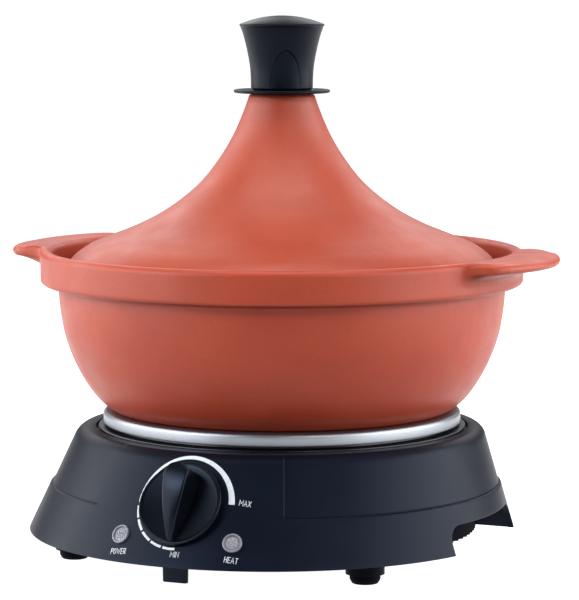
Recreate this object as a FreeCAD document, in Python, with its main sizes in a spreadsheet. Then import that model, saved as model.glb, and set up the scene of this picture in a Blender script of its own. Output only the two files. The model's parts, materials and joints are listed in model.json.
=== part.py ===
"""Electric tagine: a ceramic lid and pot on a plastic heating base.

Millimetres, +Z up.  The dial faces -Y and the pot's two handles lie along X.  The origin is on
the floor under the middle of the whole object; the pot's own axis is axis_shift behind it.
"""
import FreeCAD
import Part
import math
import os
import re
import Sketcher

SIZES = {
    # the pot's and hot plate's common axis
    "axis_shift": 7.93,
    # how far the feet reach below the height that every other height is measured from
    "foot_lift": 1.5,
    # base housing: a leaning cone, its radius and its middle both changing with height
    "base_radius": 149.0,
    "base_taper": 0.3776,
    "base_offset": -18.0,
    "base_drift": 0.2343,
    "base_top": 71.0,
    "base_shoulder": 5.0,
    "base_wall": 3.5,
    "skirt_bottom": 11.8,
    "seam_height": 38.5,
    "seam_step": 1.2,
    "panel_half_angle": 24.2,
    "recess_radius": 111.3,
    "ledge_top": 68.0,
    "ledge_under": 65.4,
    "ledge_radius": 98.0,
    "notch_width": 96.2,
    "notch_middle": -14.9,
    "notch_top": 27.4,
    "notch_corner": 10.5,
    "bulkhead_thickness": 2.5,
    "bulkhead_top": 40.0,
    "bulkhead_rear": 112.3,
    "bulkhead_front": 109.0,
    "tab_width": 16.0,
    "tab_bottom": 1.4,
    "tab_front": 149.5,
    "tab_thickness": 3.0,
    # bottom cover
    "drum_middle": -8.0,
    "drum_radius": 119.2,
    "drum_rib_depth": 2.0,
    "drum_ribs": 106,
    "drum_wall": 2.5,
    "drum_bottom": 11.0,
    "drum_top": 36.0,
    "drum_floor": 2.5,
    "collar_radius": 11.1,
    "collar_bottom": 4.0,
    "collar_top": 25.0,
    "front_foot_across": 92.0,
    "front_foot_ahead": 93.3,
    "rear_foot_across": 72.0,
    "rear_foot_back": 66.0,
    "foot_radius": 8.75,
    "foot_plug_radius": 3.0,
    "foot_plug_top": 9.0,
    "boss_radius": 5.0,
    "boss_top": 60.0,
    "boss_across": 94.0,
    "boss_apart": 34.0,
    "cover_screw_radius": 1.95,
    "cover_screw_head": 4.0,
    "cover_screw_head_height": 2.3,
    "cover_screw_length": 17.0,
    # heating parts
    "plate_radius": 107.0,
    "plate_under": 73.4,
    "plate_top": 80.8,
    "plate_edge": 2.4,
    "trim_radius": 110.0,
    "trim_thickness": 1.0,
    "trim_drop": 1.9,
    "trim_skirt_radius": 102.0,
    "trim_wall": 2.0,
    "element_ring": 75.0,
    "element_tube": 3.8,
    "element_gap_angle": 30.0,
    "element_leg": 3.2,
    "element_leg_bottom": 50.0,
    "shield_floor": 56.0,
    "shield_sheet": 1.0,
    "shield_floor_radius": 86.0,
    "shield_rim_radius": 106.0,
    "stud_radius": 3.0,
    "stud_bottom": 48.0,
    "stud_depth": 3.4,
    "plate_nut_height": 5.0,
    "plate_nut_corner": 5.8,
    "fuse_radius": 2.6,
    "fuse_length": 14.0,
    "block_width": 48.0,
    "block_depth": 16.0,
    "block_height": 14.0,
    "lead_radius": 1.4,
    # control panel
    "dial_height": 43.9,
    "dial_radius": 24.75,
    "dial_gap": 0.4,
    "dial_rim": 3.4,
    "dial_hollow_radius": 22.6,
    "dial_hollow_top": 0.9,
    "grip_top": 17.5,
    "grip_base": 1.5,
    "grip_wide_radius": 7.2,
    "grip_wide_middle": 12.4,
    "grip_point_radius": 1.5,
    "grip_point_middle": -21.6,
    "grip_draft": 0.9,
    "grip_bulge": 0.7,
    "shaft_radius": 3.0,
    "shaft_bottom": -10.0,
    "shaft_top": 6.8,
    "running_gap": 0.05,
    "bush_radius": 5.0,
    "bush_top": -0.35,
    "dial_boss_radius": 15.0,
    "dial_boss_depth": 6.5,
    "thermostat_width": 30.0,
    "thermostat_length": 26.0,
    "thermostat_depth": 16.0,
    "control_nut_corner": 6.9,
    "control_nut_height": 1.9,
    "pocket_radius": 9.0,
    "pocket_depth": 2.5,
    "lamp_angle": 14.3,
    "lamp_height": 25.9,
    "bezel_radius": 5.6,
    "bezel_thickness": 1.3,
    "bezel_barrel": 4.7,
    "bezel_depth": 9.0,
    "lens_radius": 3.7,
    "lens_top": 0.9,
    "lens_bottom": -7.0,
    "neon_radius": 2.6,
    "neon_length": 12.0,
    # cord inlet
    "inlet_height": 25.0,
    "inlet_face": 129.6,
    "inlet_inner": 117.4,
    "inlet_boss_radius": 10.0,
    "gland_radius": 5.95,
    "gland_bore": 3.6,
    "gland_flange": 8.5,
    "gland_flange_thickness": 2.2,
    "gland_lock": 7.0,
    # pot
    "pot_bottom": 80.8,
    "pot_floor": 87.8,
    "pot_wall_top": 151.8,
    "pot_band_radius": 143.9,
    "pot_rim_inner": 136.4,
    "pot_rim_top": 176.7,
    "pot_ledge": 160.0,
    "ear_radius": 169.6,
    "ear_bow": 92.0,
    # lid
    "lid_foot_radius": 129.2,
    "lid_wall": 6.0,
    "lid_neck_top": 268.7,
    "lid_neck_under": 259.0,
    "lid_hole": 3.0,
    # knob
    "gasket_radius": 16.0,
    "flange_radius": 28.6,
    "flange_bottom": 269.3,
    "flange_top": 271.3,
    "knob_rim_radius": 25.2,
    "knob_rim_height": 309.7,
    "knob_top": 315.0,
    "knob_arch_height": 295.0,
    "knob_arch_width": 18.5,
    "knob_arch_turn": 31.0,
    "insert_radius": 4.5,
    "insert_top": 286.0,
    "knob_screw_radius": 2.45,
    "knob_screw_top": 284.0,
    "knob_screw_head": 4.6,
    "knob_screw_head_height": 3.2,
    "knob_washer_radius": 8.5,
    "knob_washer_thickness": 1.6,
}

doc = FreeCAD.newDocument("Tagine")
sheet = doc.addObject("Spreadsheet::Sheet", "Params")
for row, (alias, number) in enumerate(SIZES.items(), start=1):
    sheet.set("A%d" % row, alias)
    sheet.set("B%d" % row, str(number))
    sheet.setAlias("B%d" % row, alias)
doc.recompute()

nodes = []


# ---------------------------------------------------------------- helpers

def full(expression):
    """Put the sheet's name in front of every alias of an expression."""
    return re.sub(r"[a-z_]{2,}", lambda word: "Params." + word.group(0), str(expression))


def value(expression):
    """The number that an expression of aliases comes to."""
    answer = sheet.evalExpression(full(expression))
    return float(getattr(answer, "Value", answer))


def bind(thing, **sizes):
    """Tie properties of an object to expressions of the sheet."""
    for name, expression in sizes.items():
        thing.setExpression(name, full(expression))
    return thing


def place(thing, across="0", along="0", up="0", turn=None):
    """Put an object at a point measured from the pot's axis."""
    if turn:
        thing.Placement = FreeCAD.Placement(FreeCAD.Vector(), turn)
    thing.setExpression("Placement.Base.x", full(across))
    thing.setExpression("Placement.Base.y", full("%s + axis_shift" % along))
    thing.setExpression("Placement.Base.z", full("%s + foot_lift" % up))
    return thing


def node(thing, label):
    """Keep an object as a sub-part, under its own name."""
    thing.Label = label
    nodes.append(thing)
    return thing


def cylinder(name, radius, height):
    return bind(doc.addObject("Part::Cylinder", name), Radius=radius, Height=height)


def block(name, length, width, height):
    return bind(doc.addObject("Part::Box", name), Length=length, Width=width, Height=height)


def cut(name, base, tool):
    thing = doc.addObject("Part::Cut", name)
    thing.Base = base
    thing.Tool = tool
    return thing


def common(name, base, tool):
    thing = doc.addObject("Part::Common", name)
    thing.Base = base
    thing.Tool = tool
    return thing


def fuse(name, shapes):
    thing = doc.addObject("Part::MultiFuse", name)
    thing.Shapes = shapes
    return thing


def sketch_on(body, name, role="XY_Plane", lift="0"):
    """A sketch on one of its body's own origin planes, lifted along the plane's normal."""
    sketch = body.newObject("Sketcher::SketchObject", name)
    plane = [part for part in body.Origin.OriginFeatures if part.Role == role][0]
    sketch.AttachmentSupport = [(plane, "")]
    sketch.MapMode = "FlatFace"
    sketch.setExpression("AttachmentOffset.Base.z", full(lift))
    return sketch


def bound_polygon(sketch, corners):
    """A closed outline of lines whose corners are tied to expressions of the sheet."""
    spots = [FreeCAD.Vector(value(x), value(y), 0) for x, y in corners]
    count = len(spots)
    for index in range(count):
        sketch.addGeometry(Part.LineSegment(spots[index], spots[(index + 1) % count]), False)
    for index in range(count):
        sketch.addConstraint(Sketcher.Constraint("Coincident", index, 2, (index + 1) % count, 1))
    for index, corner in enumerate(corners):
        for kind, place_on_axis, along in (("DistanceX", -2, corner[0]), ("DistanceY", -1, corner[1])):
            if along == "0":
                sketch.addConstraint(Sketcher.Constraint("PointOnObject", index, 1, place_on_axis))
                continue
            number = sketch.addConstraint(Sketcher.Constraint(kind, -1, 1, index, 1, value(along)))
            sketch.setExpression("Constraints[%d]" % number, full(along))


def bound_circle(sketch, radius, middle="0"):
    """A circle on the sketch's vertical axis, its radius and height tied to the sheet."""
    spot = FreeCAD.Vector(0, value(middle), 0)
    sketch.addGeometry(Part.Circle(spot, FreeCAD.Vector(0, 0, 1), value(radius)), False)
    sketch.addConstraint(Sketcher.Constraint("PointOnObject", 0, 3, -2))
    number = sketch.addConstraint(Sketcher.Constraint("Radius", 0, value(radius)))
    sketch.setExpression("Constraints[%d]" % number, full(radius))
    if middle != "0":
        number = sketch.addConstraint(Sketcher.Constraint("DistanceY", -1, 1, 0, 3, value(middle)))
        sketch.setExpression("Constraints[%d]" % number, full(middle))


def draw(sketch, start, *moves):
    """A closed outline of lines, arcs (by a middle point) and smooth curves, from a start point."""
    here = FreeCAD.Vector(start[0], start[1], 0)
    for kind, *points in moves:
        stops = [FreeCAD.Vector(x, y, 0) for x, y in points]
        if kind == "line":
            sketch.addGeometry(Part.LineSegment(here, stops[0]), False)
        elif kind == "arc":
            sketch.addGeometry(Part.Arc(here, stops[0], stops[1]), False)
        else:
            curve = Part.BSplineCurve()
            curve.interpolate([here] + stops)
            sketch.addGeometry(curve, False)
        here = stops[-1]


def bow(start, crown):
    """The middle point of an arc whose centre is on the axis, from a start point to the axis."""
    rise = crown - start[1]
    radius = (start[0] ** 2 + rise ** 2) / (2 * rise)
    half = start[0] / 2
    return half, crown - radius + math.copysign(math.sqrt(radius ** 2 - half ** 2), radius)


def revolve(body, sketch):
    """Turn a sketch drawn on the XZ plane a full circle about the body's Z axis."""
    feature = body.newObject("PartDesign::Revolution", body.Name + "_turn")
    feature.Profile = sketch
    feature.ReferenceAxis = (sketch, ["V_Axis"])
    feature.Angle = 360
    return feature


def turned(name, corners):
    """A round body from a bound outline of (radius, height) corners."""
    body = doc.addObject("PartDesign::Body", name)
    sketch = sketch_on(body, name + "_section", "XZ_Plane")
    bound_polygon(sketch, corners)
    revolve(body, sketch)
    return body


def padded(name, corners, length, lift="0"):
    """A straight body from a bound outline in plan, raised from a given height."""
    body = doc.addObject("PartDesign::Body", name)
    sketch = sketch_on(body, name + "_plan", "XY_Plane", lift)
    bound_polygon(sketch, corners)
    pad = body.newObject("PartDesign::Pad", name + "_pad")
    pad.Profile = sketch
    bind(pad, Length=length)
    return body


def leaning_cone(name, inset, low, high, shoulder=False):
    """The housing's leaning cone between two heights, moved in by an inset; a shoulder rounds its top."""
    body = doc.addObject("PartDesign::Body", name)
    levels = [(low, inset)]
    if shoulder:
        for angle in (0, 30, 60, 90):
            drop = 1 - math.sin(math.radians(angle))
            tuck = 0.85 * (1 - math.cos(math.radians(angle)))
            levels.append(("%s - base_shoulder * %.4f" % (high, drop),
                           "%s + base_shoulder * %.4f" % (inset, tuck)))
    else:
        levels.append((high, inset))
    rings = []
    for number, (height, inward) in enumerate(levels):
        ring = sketch_on(body, "%s_ring_%d" % (name, number), "XY_Plane", height)
        bound_circle(ring, "base_radius - base_taper * (%s) - (%s)" % (height, inward),
                     "base_offset + base_drift * (%s)" % height)
        rings.append(ring)
    loft = body.newObject("PartDesign::AdditiveLoft", name + "_loft")
    loft.Profile = rings[0]
    loft.Sections = rings[1:]
    loft.Ruled = True
    return place(body)


# ---------------------------------------------------------------- places on the sloping panel

def panel_frame(angle, height):
    """The panel's tangent frame at an angle from the front: x sideways, y up the slope, z out."""
    turn = math.radians(angle)
    radius = value("base_radius - base_taper * %s" % height)
    middle = value("base_offset + base_drift * %s + axis_shift" % height)
    spot = FreeCAD.Vector(radius * math.sin(turn), middle - radius * math.cos(turn),
                          value("%s + foot_lift" % height))
    rise = math.degrees(math.atan(value("base_taper") + value("base_drift") * math.cos(turn)))
    about_z = FreeCAD.Rotation(FreeCAD.Vector(0, 0, 1), angle)
    about_x = FreeCAD.Rotation(FreeCAD.Vector(1, 0, 0), 90 - rise)
    return FreeCAD.Placement(spot, about_z.multiply(about_x))


def in_frame(thing, frame, depth="0", across="0", along="0"):
    """Put an object in a panel frame, moved out along the frame's z by a depth."""
    shift = FreeCAD.Vector(value(across), value(along), value(depth))
    thing.Placement = frame.multiply(FreeCAD.Placement(shift, FreeCAD.Rotation()))
    return thing


dial_frame = panel_frame(0, "dial_height")
lamp_frames = {"left": panel_frame(-value("lamp_angle"), "lamp_height"),
               "right": panel_frame(value("lamp_angle"), "lamp_height")}


# ---------------------------------------------------------------- lid

LID_CURVE = [(129.2, 163.0), (128.3, 167.0), (124.2, 172.3), (115.5, 178.6), (102.0, 184.2),
             (84.9, 191.2), (67.5, 200.8), (49.5, 215.2), (37.8, 229.6), (29.1, 244.0), (22.8, 258.4)]


def inset_curve(points, distance):
    """Points a wall's thickness inside a curve that runs up and towards the axis."""
    curve = Part.BSplineCurve()
    curve.interpolate([FreeCAD.Vector(x, y, 0) for x, y in points])
    inside = []
    for x, y in points:
        spot = FreeCAD.Vector(x, y, 0)
        along = curve.tangent(curve.parameter(spot))[0]
        inside.append((x - along.y * distance, y + along.x * distance))
    return inside


def make_lid():
    """The flared ceramic cone, hollow, open below, with a screw hole through its neck."""
    body = doc.addObject("PartDesign::Body", "lid")
    sketch = sketch_on(body, "lid_section", "XZ_Plane")
    seat = value("pot_ledge")
    foot = value("lid_foot_radius")
    top = value("lid_neck_top")
    under = value("lid_neck_under")
    hole = value("lid_hole")
    inside = inset_curve(LID_CURVE, value("lid_wall"))
    last = inside[-1]
    bend = 1.4 * (1 - math.sqrt(0.5))
    draw(sketch, (foot - 1.4, seat),
         ("arc", (foot - bend, seat + bend), (foot, seat + 1.4)),
         ("line", LID_CURVE[0]),
         ("curve", *LID_CURVE[1:], (19.9, top - 2.2)),
         ("arc", (19.2, top - 0.7), (17.8, top)),
         ("line", (hole, top)),
         ("line", (hole, under)),
         ("line", (12.4, under)),
         ("arc", (15.6, under - 1.0), last),
         ("curve", *inside[-2::-1]),
         ("line", (inside[0][0], seat + 1.4)),
         ("arc", (inside[0][0] + bend, seat + bend), (inside[0][0] + 1.4, seat)),
         ("line", (foot - 1.4, seat)))
    revolve(body, sketch)
    node(place(body), "lid")


def make_knob():
    """The flared plastic knob with an arched thumb recess, and what fastens it to the lid."""
    blank = doc.addObject("PartDesign::Body", "knob_blank")
    sketch = sketch_on(blank, "knob_section", "XZ_Plane")
    low = value("flange_top")
    rim = value("knob_rim_height")
    rim_radius = value("knob_rim_radius")
    bore = value("insert_radius + 0.02")
    bore_top = value("insert_top + 1")
    dome = (rim_radius - 0.5, rim + 0.5)
    crown = value("knob_top")
    draw(sketch, (bore, low),
         ("line", (17.7, low)),
         ("line", (18.4, low + 1.2)),
         ("curve", (18.6, 279.5), (19.1, 285.5), (20.7, 294.4), (23.1, 304.0), (rim_radius - 0.3, rim - 0.9)),
         ("arc", (rim_radius, rim - 0.1), dome),
         ("arc", bow(dome, crown), (0, crown)),
         ("line", (0, bore_top)),
         ("line", (bore, bore_top)),
         ("line", (bore, low)))
    revolve(blank, sketch)
    place(blank)

    arch = doc.addObject("PartDesign::Body", "knob_arch")
    arch_sketch = sketch_on(arch, "knob_arch_outline", "XZ_Plane")
    half = value("knob_arch_width") / 2
    peak = value("knob_arch_height")
    draw(arch_sketch, (-half, low + 2.5),
         ("curve", (-half * 0.72, low + 14.5), (-half * 0.36, peak - 2.4), (0, peak),
          (half * 0.36, peak - 2.4), (half * 0.72, low + 14.5), (half, low + 2.5)),
         ("line", (-half, low + 2.5)))
    arch_pad = arch.newObject("PartDesign::Pad", "knob_arch_pad")
    arch_pad.Profile = arch_sketch
    bind(arch_pad, Length="knob_rim_radius + 2")
    place(arch, turn=FreeCAD.Rotation(FreeCAD.Vector(0, 0, 1), value("knob_arch_turn")))
    core = place(turned("knob_core", [("0", "flange_bottom"), ("18.3", "flange_bottom"),
                                      ("18.4", "flange_top + 8"), ("19.9", "knob_arch_height"),
                                      ("21.0", "knob_arch_height + 5"), ("0", "knob_arch_height + 5")]))
    node(cut("lid_knob", blank, cut("knob_recess", arch, core)), "lid_knob")

    node(place(turned("knob_flange", [
        ("lid_hole", "flange_bottom"), ("flange_radius - 0.6", "flange_bottom"),
        ("flange_radius", "flange_bottom + 0.6"), ("flange_radius", "flange_top - 0.6"),
        ("flange_radius - 0.6", "flange_top"), ("lid_hole", "flange_top")])), "knob_flange")
    node(place(turned("knob_gasket", [
        ("lid_hole", "lid_neck_top"), ("gasket_radius", "lid_neck_top"),
        ("gasket_radius", "flange_bottom"), ("lid_hole", "flange_bottom")])), "knob_gasket")
    node(place(turned("knob_insert", [
        ("knob_screw_radius + 0.05", "flange_top + 0.5"), ("insert_radius", "flange_top + 0.5"),
        ("insert_radius", "insert_top"), ("knob_screw_radius + 0.05", "insert_top")])), "knob_insert")
    node(place(turned("knob_washer", [
        ("knob_screw_radius + 0.25", "lid_neck_under - knob_washer_thickness"),
        ("knob_washer_radius", "lid_neck_under - knob_washer_thickness"),
        ("knob_washer_radius", "lid_neck_under"),
        ("knob_screw_radius + 0.25", "lid_neck_under")])), "knob_washer")
    seat = "lid_neck_under - knob_washer_thickness"
    node(place(turned("knob_screw", [
        ("0", seat + " - knob_screw_head_height"),
        ("knob_screw_head - 0.8", seat + " - knob_screw_head_height"),
        ("knob_screw_head", seat + " - knob_screw_head_height + 0.8"), ("knob_screw_head", seat),
        ("knob_screw_radius", seat), ("knob_screw_radius", "knob_screw_top"),
        ("0", "knob_screw_top")])), "knob_screw")


# ---------------------------------------------------------------- pot

def polar(radius, angle):
    """A point in plan from its radius and its angle in degrees from +X."""
    return radius * math.cos(math.radians(angle)), radius * math.sin(math.radians(angle))


def make_pot():
    """The ceramic pot: a bowl under an outer band, an inner ledge for the lid, and two ears."""
    bowl = doc.addObject("PartDesign::Body", "pot_bowl")
    sketch = sketch_on(bowl, "pot_section", "XZ_Plane")
    low = value("pot_bottom")
    floor = value("pot_floor")
    neck = value("pot_wall_top")
    band = value("pot_band_radius")
    inner = value("pot_rim_inner")
    rim = value("pot_rim_top")
    ledge = value("pot_ledge")
    draw(sketch, (0, low),
         ("line", (98.0, low)),
         ("curve", (101.6, low + 1.0), (105.0, low + 3.3), (109.8, 88.2), (117.0, 97.6), (124.6, 112.0),
          (129.6, 126.4), (132.2, 140.8), (133.3, neck)),
         ("line", (133.3, neck + 1.5)),
         ("arc", (134.1, neck + 3.4), (136.1, neck + 4.2)),
         ("line", (band - 2.6, neck + 4.8)),
         ("arc", (band - 0.7, neck + 5.7), (band, neck + 7.6)),
         ("line", (band, rim - 3.6)),
         ("arc", (band - 1.0, rim - 1.0), (band - 3.5, rim)),
         ("arc", (inner + 1.1, rim - 1.1), (inner, rim - 3.6)),
         ("line", (inner - 0.3, ledge + 2.4)),
         ("arc", (inner - 1.0, ledge + 0.7), (inner - 2.8, ledge)),
         ("line", (125.4, ledge)),
         ("arc", (124.3, ledge - 0.5), (123.9, ledge - 1.6)),
         ("curve", (124.3, 146.0), (122.9, 130.0), (117.6, 113.0), (110.4, 100.4), (102.8, 92.0),
          (95.2, floor + 0.7), (88.0, floor)),
         ("line", (0, floor)),
         ("line", (0, low)))
    revolve(bowl, sketch)
    place(bowl)

    ring = doc.addObject("PartDesign::Body", "ear_ring")
    ring_sketch = sketch_on(ring, "ear_section", "XZ_Plane")
    tip = value("ear_radius")
    bow_radius = value("ear_bow")
    draw(ring_sketch, (band - 4.0, rim - 0.5),
         ("curve", (150.0, rim + 0.5), (160.0, rim + 0.4), (tip - 3.4, rim - 0.9)),
         ("arc", (tip, rim - 3.5), (tip - 3.4, rim - 6.0)),
         ("curve", (158.0, rim - 7.6), (150.0, rim - 9.8), (band - 4.0, rim - 12.5)),
         ("line", (band - 4.0, rim - 0.5)))
    revolve(ring, ring_sketch)
    place(ring)

    ears = []
    for name, turn in (("right", 0), ("left", 180)):
        ear = doc.addObject("PartDesign::Body", "ear_plan_" + name)
        plan = sketch_on(ear, "ear_outline_" + name, "XY_Plane", "pot_ledge")
        side = [(tip - 7.8, 17.3), (157.0, 18.9), (152.0, 19.7), (148.0, 21.2), (145.0, 24.0), (141.5, 29.0)]
        upper = [polar(radius, angle) for radius, angle in side]
        lower = [(x, -y) for x, y in upper]
        bow_x, bow_y = polar(bow_radius, 27.0)
        end = (tip - bow_radius + bow_x, bow_y)
        draw(plan, end,
             ("curve", *upper),
             ("line", lower[-1]),
             ("curve", *lower[-2::-1], (end[0], -end[1])),
             ("arc", (tip, 0), end))
        pad = ear.newObject("PartDesign::Pad", "ear_pad_" + name)
        pad.Profile = plan
        bind(pad, Length="pot_rim_top - pot_ledge + 5")
        place(ear, turn=FreeCAD.Rotation(FreeCAD.Vector(0, 0, 1), turn))
        ears.append(ear)
    both = fuse("ear_plans", ears)
    node(fuse("pot", [bowl, common("pot_ears", ring, both)]), "pot")


# ---------------------------------------------------------------- heating parts

def make_heating():
    """The hot plate on its trim ring, with the element, shield, stud and nut under it."""
    plate = turned("hot_plate", [
        ("0", "plate_under + stud_depth"), ("stud_radius + 0.02", "plate_under + stud_depth"),
        ("stud_radius + 0.02", "plate_under"), ("plate_radius - 0.6", "plate_under"),
        ("plate_radius", "plate_under + 0.6"), ("plate_radius", "plate_top - plate_edge"),
        ("plate_radius - plate_edge * 0.3", "plate_top - plate_edge * 0.3"),
        ("plate_radius - plate_edge", "plate_top"), ("0", "plate_top")])
    node(place(plate), "hot_plate")
    node(place(turned("plate_trim_ring", [
        ("trim_skirt_radius - trim_wall", "ledge_top"), ("trim_skirt_radius", "ledge_top"),
        ("trim_skirt_radius", "plate_under - trim_drop - trim_thickness"),
        ("trim_radius", "plate_under - trim_drop - trim_thickness"),
        ("trim_radius", "plate_under - trim_drop"), ("trim_skirt_radius", "plate_under - trim_drop"),
        ("trim_skirt_radius", "plate_under"), ("trim_skirt_radius - trim_wall", "plate_under")])),
         "plate_trim_ring")

    ring = bind(doc.addObject("Part::Torus", "element_loop"), Radius1="element_ring",
                Radius2="element_tube", Angle3="360 - element_gap_angle")
    half_gap = value("element_gap_angle / 2")
    place(ring, up="plate_under - element_tube",
          turn=FreeCAD.Rotation(FreeCAD.Vector(0, 0, 1), 90 + half_gap))
    end = polar(value("element_ring"), 90 - half_gap)
    legs = []
    openings = []
    for name, side in (("right", 1), ("left", -1)):
        leg = cylinder("element_leg_" + name, "element_leg",
                       "plate_under - element_tube - element_leg_bottom")
        legs.append(place(leg, side * end[0], end[1], "element_leg_bottom"))
        opening = cylinder("shield_opening_" + name, "element_leg + 2", "10")
        openings.append(place(opening, side * end[0], end[1], "shield_floor - 2"))
        lead = cylinder("lead_" + name, "lead_radius",
                        "element_leg_bottom - drum_bottom - drum_floor - block_height")
        place(lead, side * end[0], end[1], "drum_bottom + drum_floor + block_height")
        node(lead, "lead_" + name)
    node(fuse("heating_element", [ring] + legs), "heating_element")

    pan = place(turned("shield_pan", [
        ("stud_radius + 0.2", "shield_floor"), ("shield_floor_radius", "shield_floor"),
        ("ledge_radius", "ledge_under - shield_sheet"),
        ("shield_rim_radius", "ledge_under - shield_sheet"), ("shield_rim_radius", "ledge_under"),
        ("ledge_radius - 0.6", "ledge_under"),
        ("shield_floor_radius - 0.5", "shield_floor + shield_sheet"),
        ("stud_radius + 0.2", "shield_floor + shield_sheet")]))
    node(cut("heat_shield", pan, fuse("shield_openings", openings)), "heat_shield")

    stud = cylinder("plate_stud", "stud_radius", "plate_under + stud_depth - stud_bottom")
    node(place(stud, up="stud_bottom"), "plate_stud")
    nut = doc.addObject("Part::Prism", "plate_nut_blank")
    nut.Polygon = 6
    bind(nut, Circumradius="plate_nut_corner", Height="plate_nut_height")
    place(nut, up="shield_floor - plate_nut_height")
    bore = place(cylinder("plate_nut_bore", "stud_radius + 0.02", "20"), up="shield_floor - 10")
    node(cut("plate_nut", nut, bore), "plate_nut")

    fuse_tube = cylinder("thermal_fuse", "fuse_radius", "fuse_length")
    place(fuse_tube, "-fuse_length / 2", "40", "plate_under - fuse_radius",
          FreeCAD.Rotation(FreeCAD.Vector(0, 1, 0), 90))
    node(fuse_tube, "thermal_fuse")
    terminals = block("terminal_block", "block_width", "block_depth", "block_height")
    place(terminals, "-block_width / 2", "64", "drum_bottom + drum_floor")
    node(terminals, "terminal_block")


# ---------------------------------------------------------------- bottom cover and feet

BOSSES = [(side_x, side_y) for side_x in (1, -1) for side_y in (1, -1)]
FEET = {"front_right": ("front_foot_across", "-front_foot_ahead"),
        "front_left": ("-front_foot_across", "-front_foot_ahead"),
        "rear_right": ("rear_foot_across", "rear_foot_back"),
        "rear_left": ("-rear_foot_across", "rear_foot_back")}


def boss_place(side_x, side_y):
    """Where a cover screw stands, from the pot's axis."""
    return "%d * boss_across" % side_x, "drum_middle + %d * boss_apart" % side_y


def ribbed_drum():
    """The cover's outer wall: a cylinder with fine upright ribs all round."""
    body = doc.addObject("PartDesign::Body", "drum")
    plan = sketch_on(body, "drum_plan", "XY_Plane", "drum_bottom")
    ribs = int(value("drum_ribs"))
    crest = value("drum_radius")
    valley = value("drum_radius - drum_rib_depth")
    spots = []
    for index in range(ribs):
        spots.append(polar(crest, index * 360 / ribs))
        spots.append(polar(valley, (index + 0.5) * 360 / ribs))
    draw(plan, spots[0], *[("line", spot) for spot in spots[1:]], ("line", spots[0]))
    pad = body.newObject("PartDesign::Pad", "drum_pad")
    pad.Profile = plan
    bind(pad, Length="drum_top - drum_bottom")
    return place(body, along="drum_middle")


def make_cover():
    """The ribbed bottom cover with four foot collars, its screws and the rubber feet."""
    hollow = cylinder("drum_hollow", "drum_radius - drum_rib_depth - drum_wall", "drum_top")
    place(hollow, along="drum_middle", up="drum_bottom + drum_floor")
    relief = block("drum_relief", "thermostat_width + 22", "40", "drum_top")
    place(relief, "-thermostat_width / 2 - 11", "drum_middle - drum_radius - 5", "drum_bottom + 5")
    cup = cut("drum_cup", ribbed_drum(), fuse("drum_spaces", [hollow, relief]))

    collars = []
    holes = []
    for name, (across, along) in FEET.items():
        top = "collar_top" if name.startswith("front") else "drum_bottom + 1"
        collar = cylinder("collar_" + name, "collar_radius", top + " - collar_bottom")
        collars.append(place(collar, across, along, "collar_bottom"))
        hole = cylinder("plug_hole_" + name, "foot_plug_radius + 0.05", "foot_plug_top - collar_bottom + 0.5")
        holes.append(place(hole, across, along, "collar_bottom"))
    for index, sides in enumerate(BOSSES, start=1):
        across, along = boss_place(*sides)
        hole = cylinder("cover_hole_%d" % index, "cover_screw_radius + 0.25", "20")
        holes.append(place(hole, across, along, "collar_bottom"))
    solid = fuse("cover_solid", [cup] + collars)
    node(cut("bottom_cover", solid, fuse("cover_holes", holes)), "bottom_cover")

    for index, sides in enumerate(BOSSES, start=1):
        across, along = boss_place(*sides)
        screw = turned("cover_screw_%d" % index, [
            ("0", "drum_bottom - cover_screw_head_height"),
            ("cover_screw_head - 0.7", "drum_bottom - cover_screw_head_height"),
            ("cover_screw_head", "drum_bottom - cover_screw_head_height + 0.7"),
            ("cover_screw_head", "drum_bottom"), ("cover_screw_radius", "drum_bottom"),
            ("cover_screw_radius", "drum_bottom + cover_screw_length - 2"),
            ("0", "drum_bottom + cover_screw_length")])
        node(place(screw, across, along), "cover_screw_%d" % index)
    for name, (across, along) in FEET.items():
        foot = turned("foot_pad_" + name, [
            ("0", "-foot_lift"), ("foot_radius - 1.6", "-foot_lift"),
            ("foot_radius - 0.4", "0.6 - foot_lift"), ("foot_radius", "1.8 - foot_lift"),
            ("foot_radius", "collar_bottom"),
            ("foot_plug_radius", "collar_bottom"), ("foot_plug_radius", "foot_plug_top"),
            ("0", "foot_plug_top")])
        node(place(foot, across, along), "foot_pad_" + name)


# ---------------------------------------------------------------- base housing

def panel_zone():
    """Where the housing keeps its full radius: below the seam, and up the front panel."""
    below = place(block("below_seam", "400", "400", "seam_height + 5"), "-200", "-200", "-5")
    reach = 190.0
    turn = math.radians(value("panel_half_angle"))
    corner = (reach * math.sin(turn), -reach * math.cos(turn))
    wedge = padded("panel_wedge", [("0", "0"), (str(-corner[0]), str(corner[1])),
                                   (str(corner[0]), str(corner[1]))], "base_top + 5")
    return fuse("full_radius_zone", [below, place(wedge)])


def notch_tool():
    """The long round-cornered slot that cuts both side notches through the skirt."""
    body = doc.addObject("PartDesign::Body", "notch_slot")
    outline = sketch_on(body, "notch_outline", "YZ_Plane")
    half = value("notch_width / 2")
    top = value("notch_top")
    corner = value("notch_corner")
    bend = corner * (1 - math.sqrt(0.5))
    draw(outline, (-half, -5),
         ("line", (half, -5)),
         ("line", (half, top - corner)),
         ("arc", (half - bend, top - bend), (half - corner, top)),
         ("line", (corner - half, top)),
         ("arc", (bend - half, top - bend), (-half, top - corner)),
         ("line", (-half, -5)))
    pad = body.newObject("PartDesign::Pad", "notch_pad")
    pad.Profile = outline
    pad.Midplane = True
    bind(pad, Length="400")
    return place(body, along="notch_middle")


def along_y(thing, start, height):
    """Lay a cylinder along +Y from a start point at a height over the floor."""
    return place(thing, "0", start, height, FreeCAD.Rotation(FreeCAD.Vector(1, 0, 0), -90))


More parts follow.
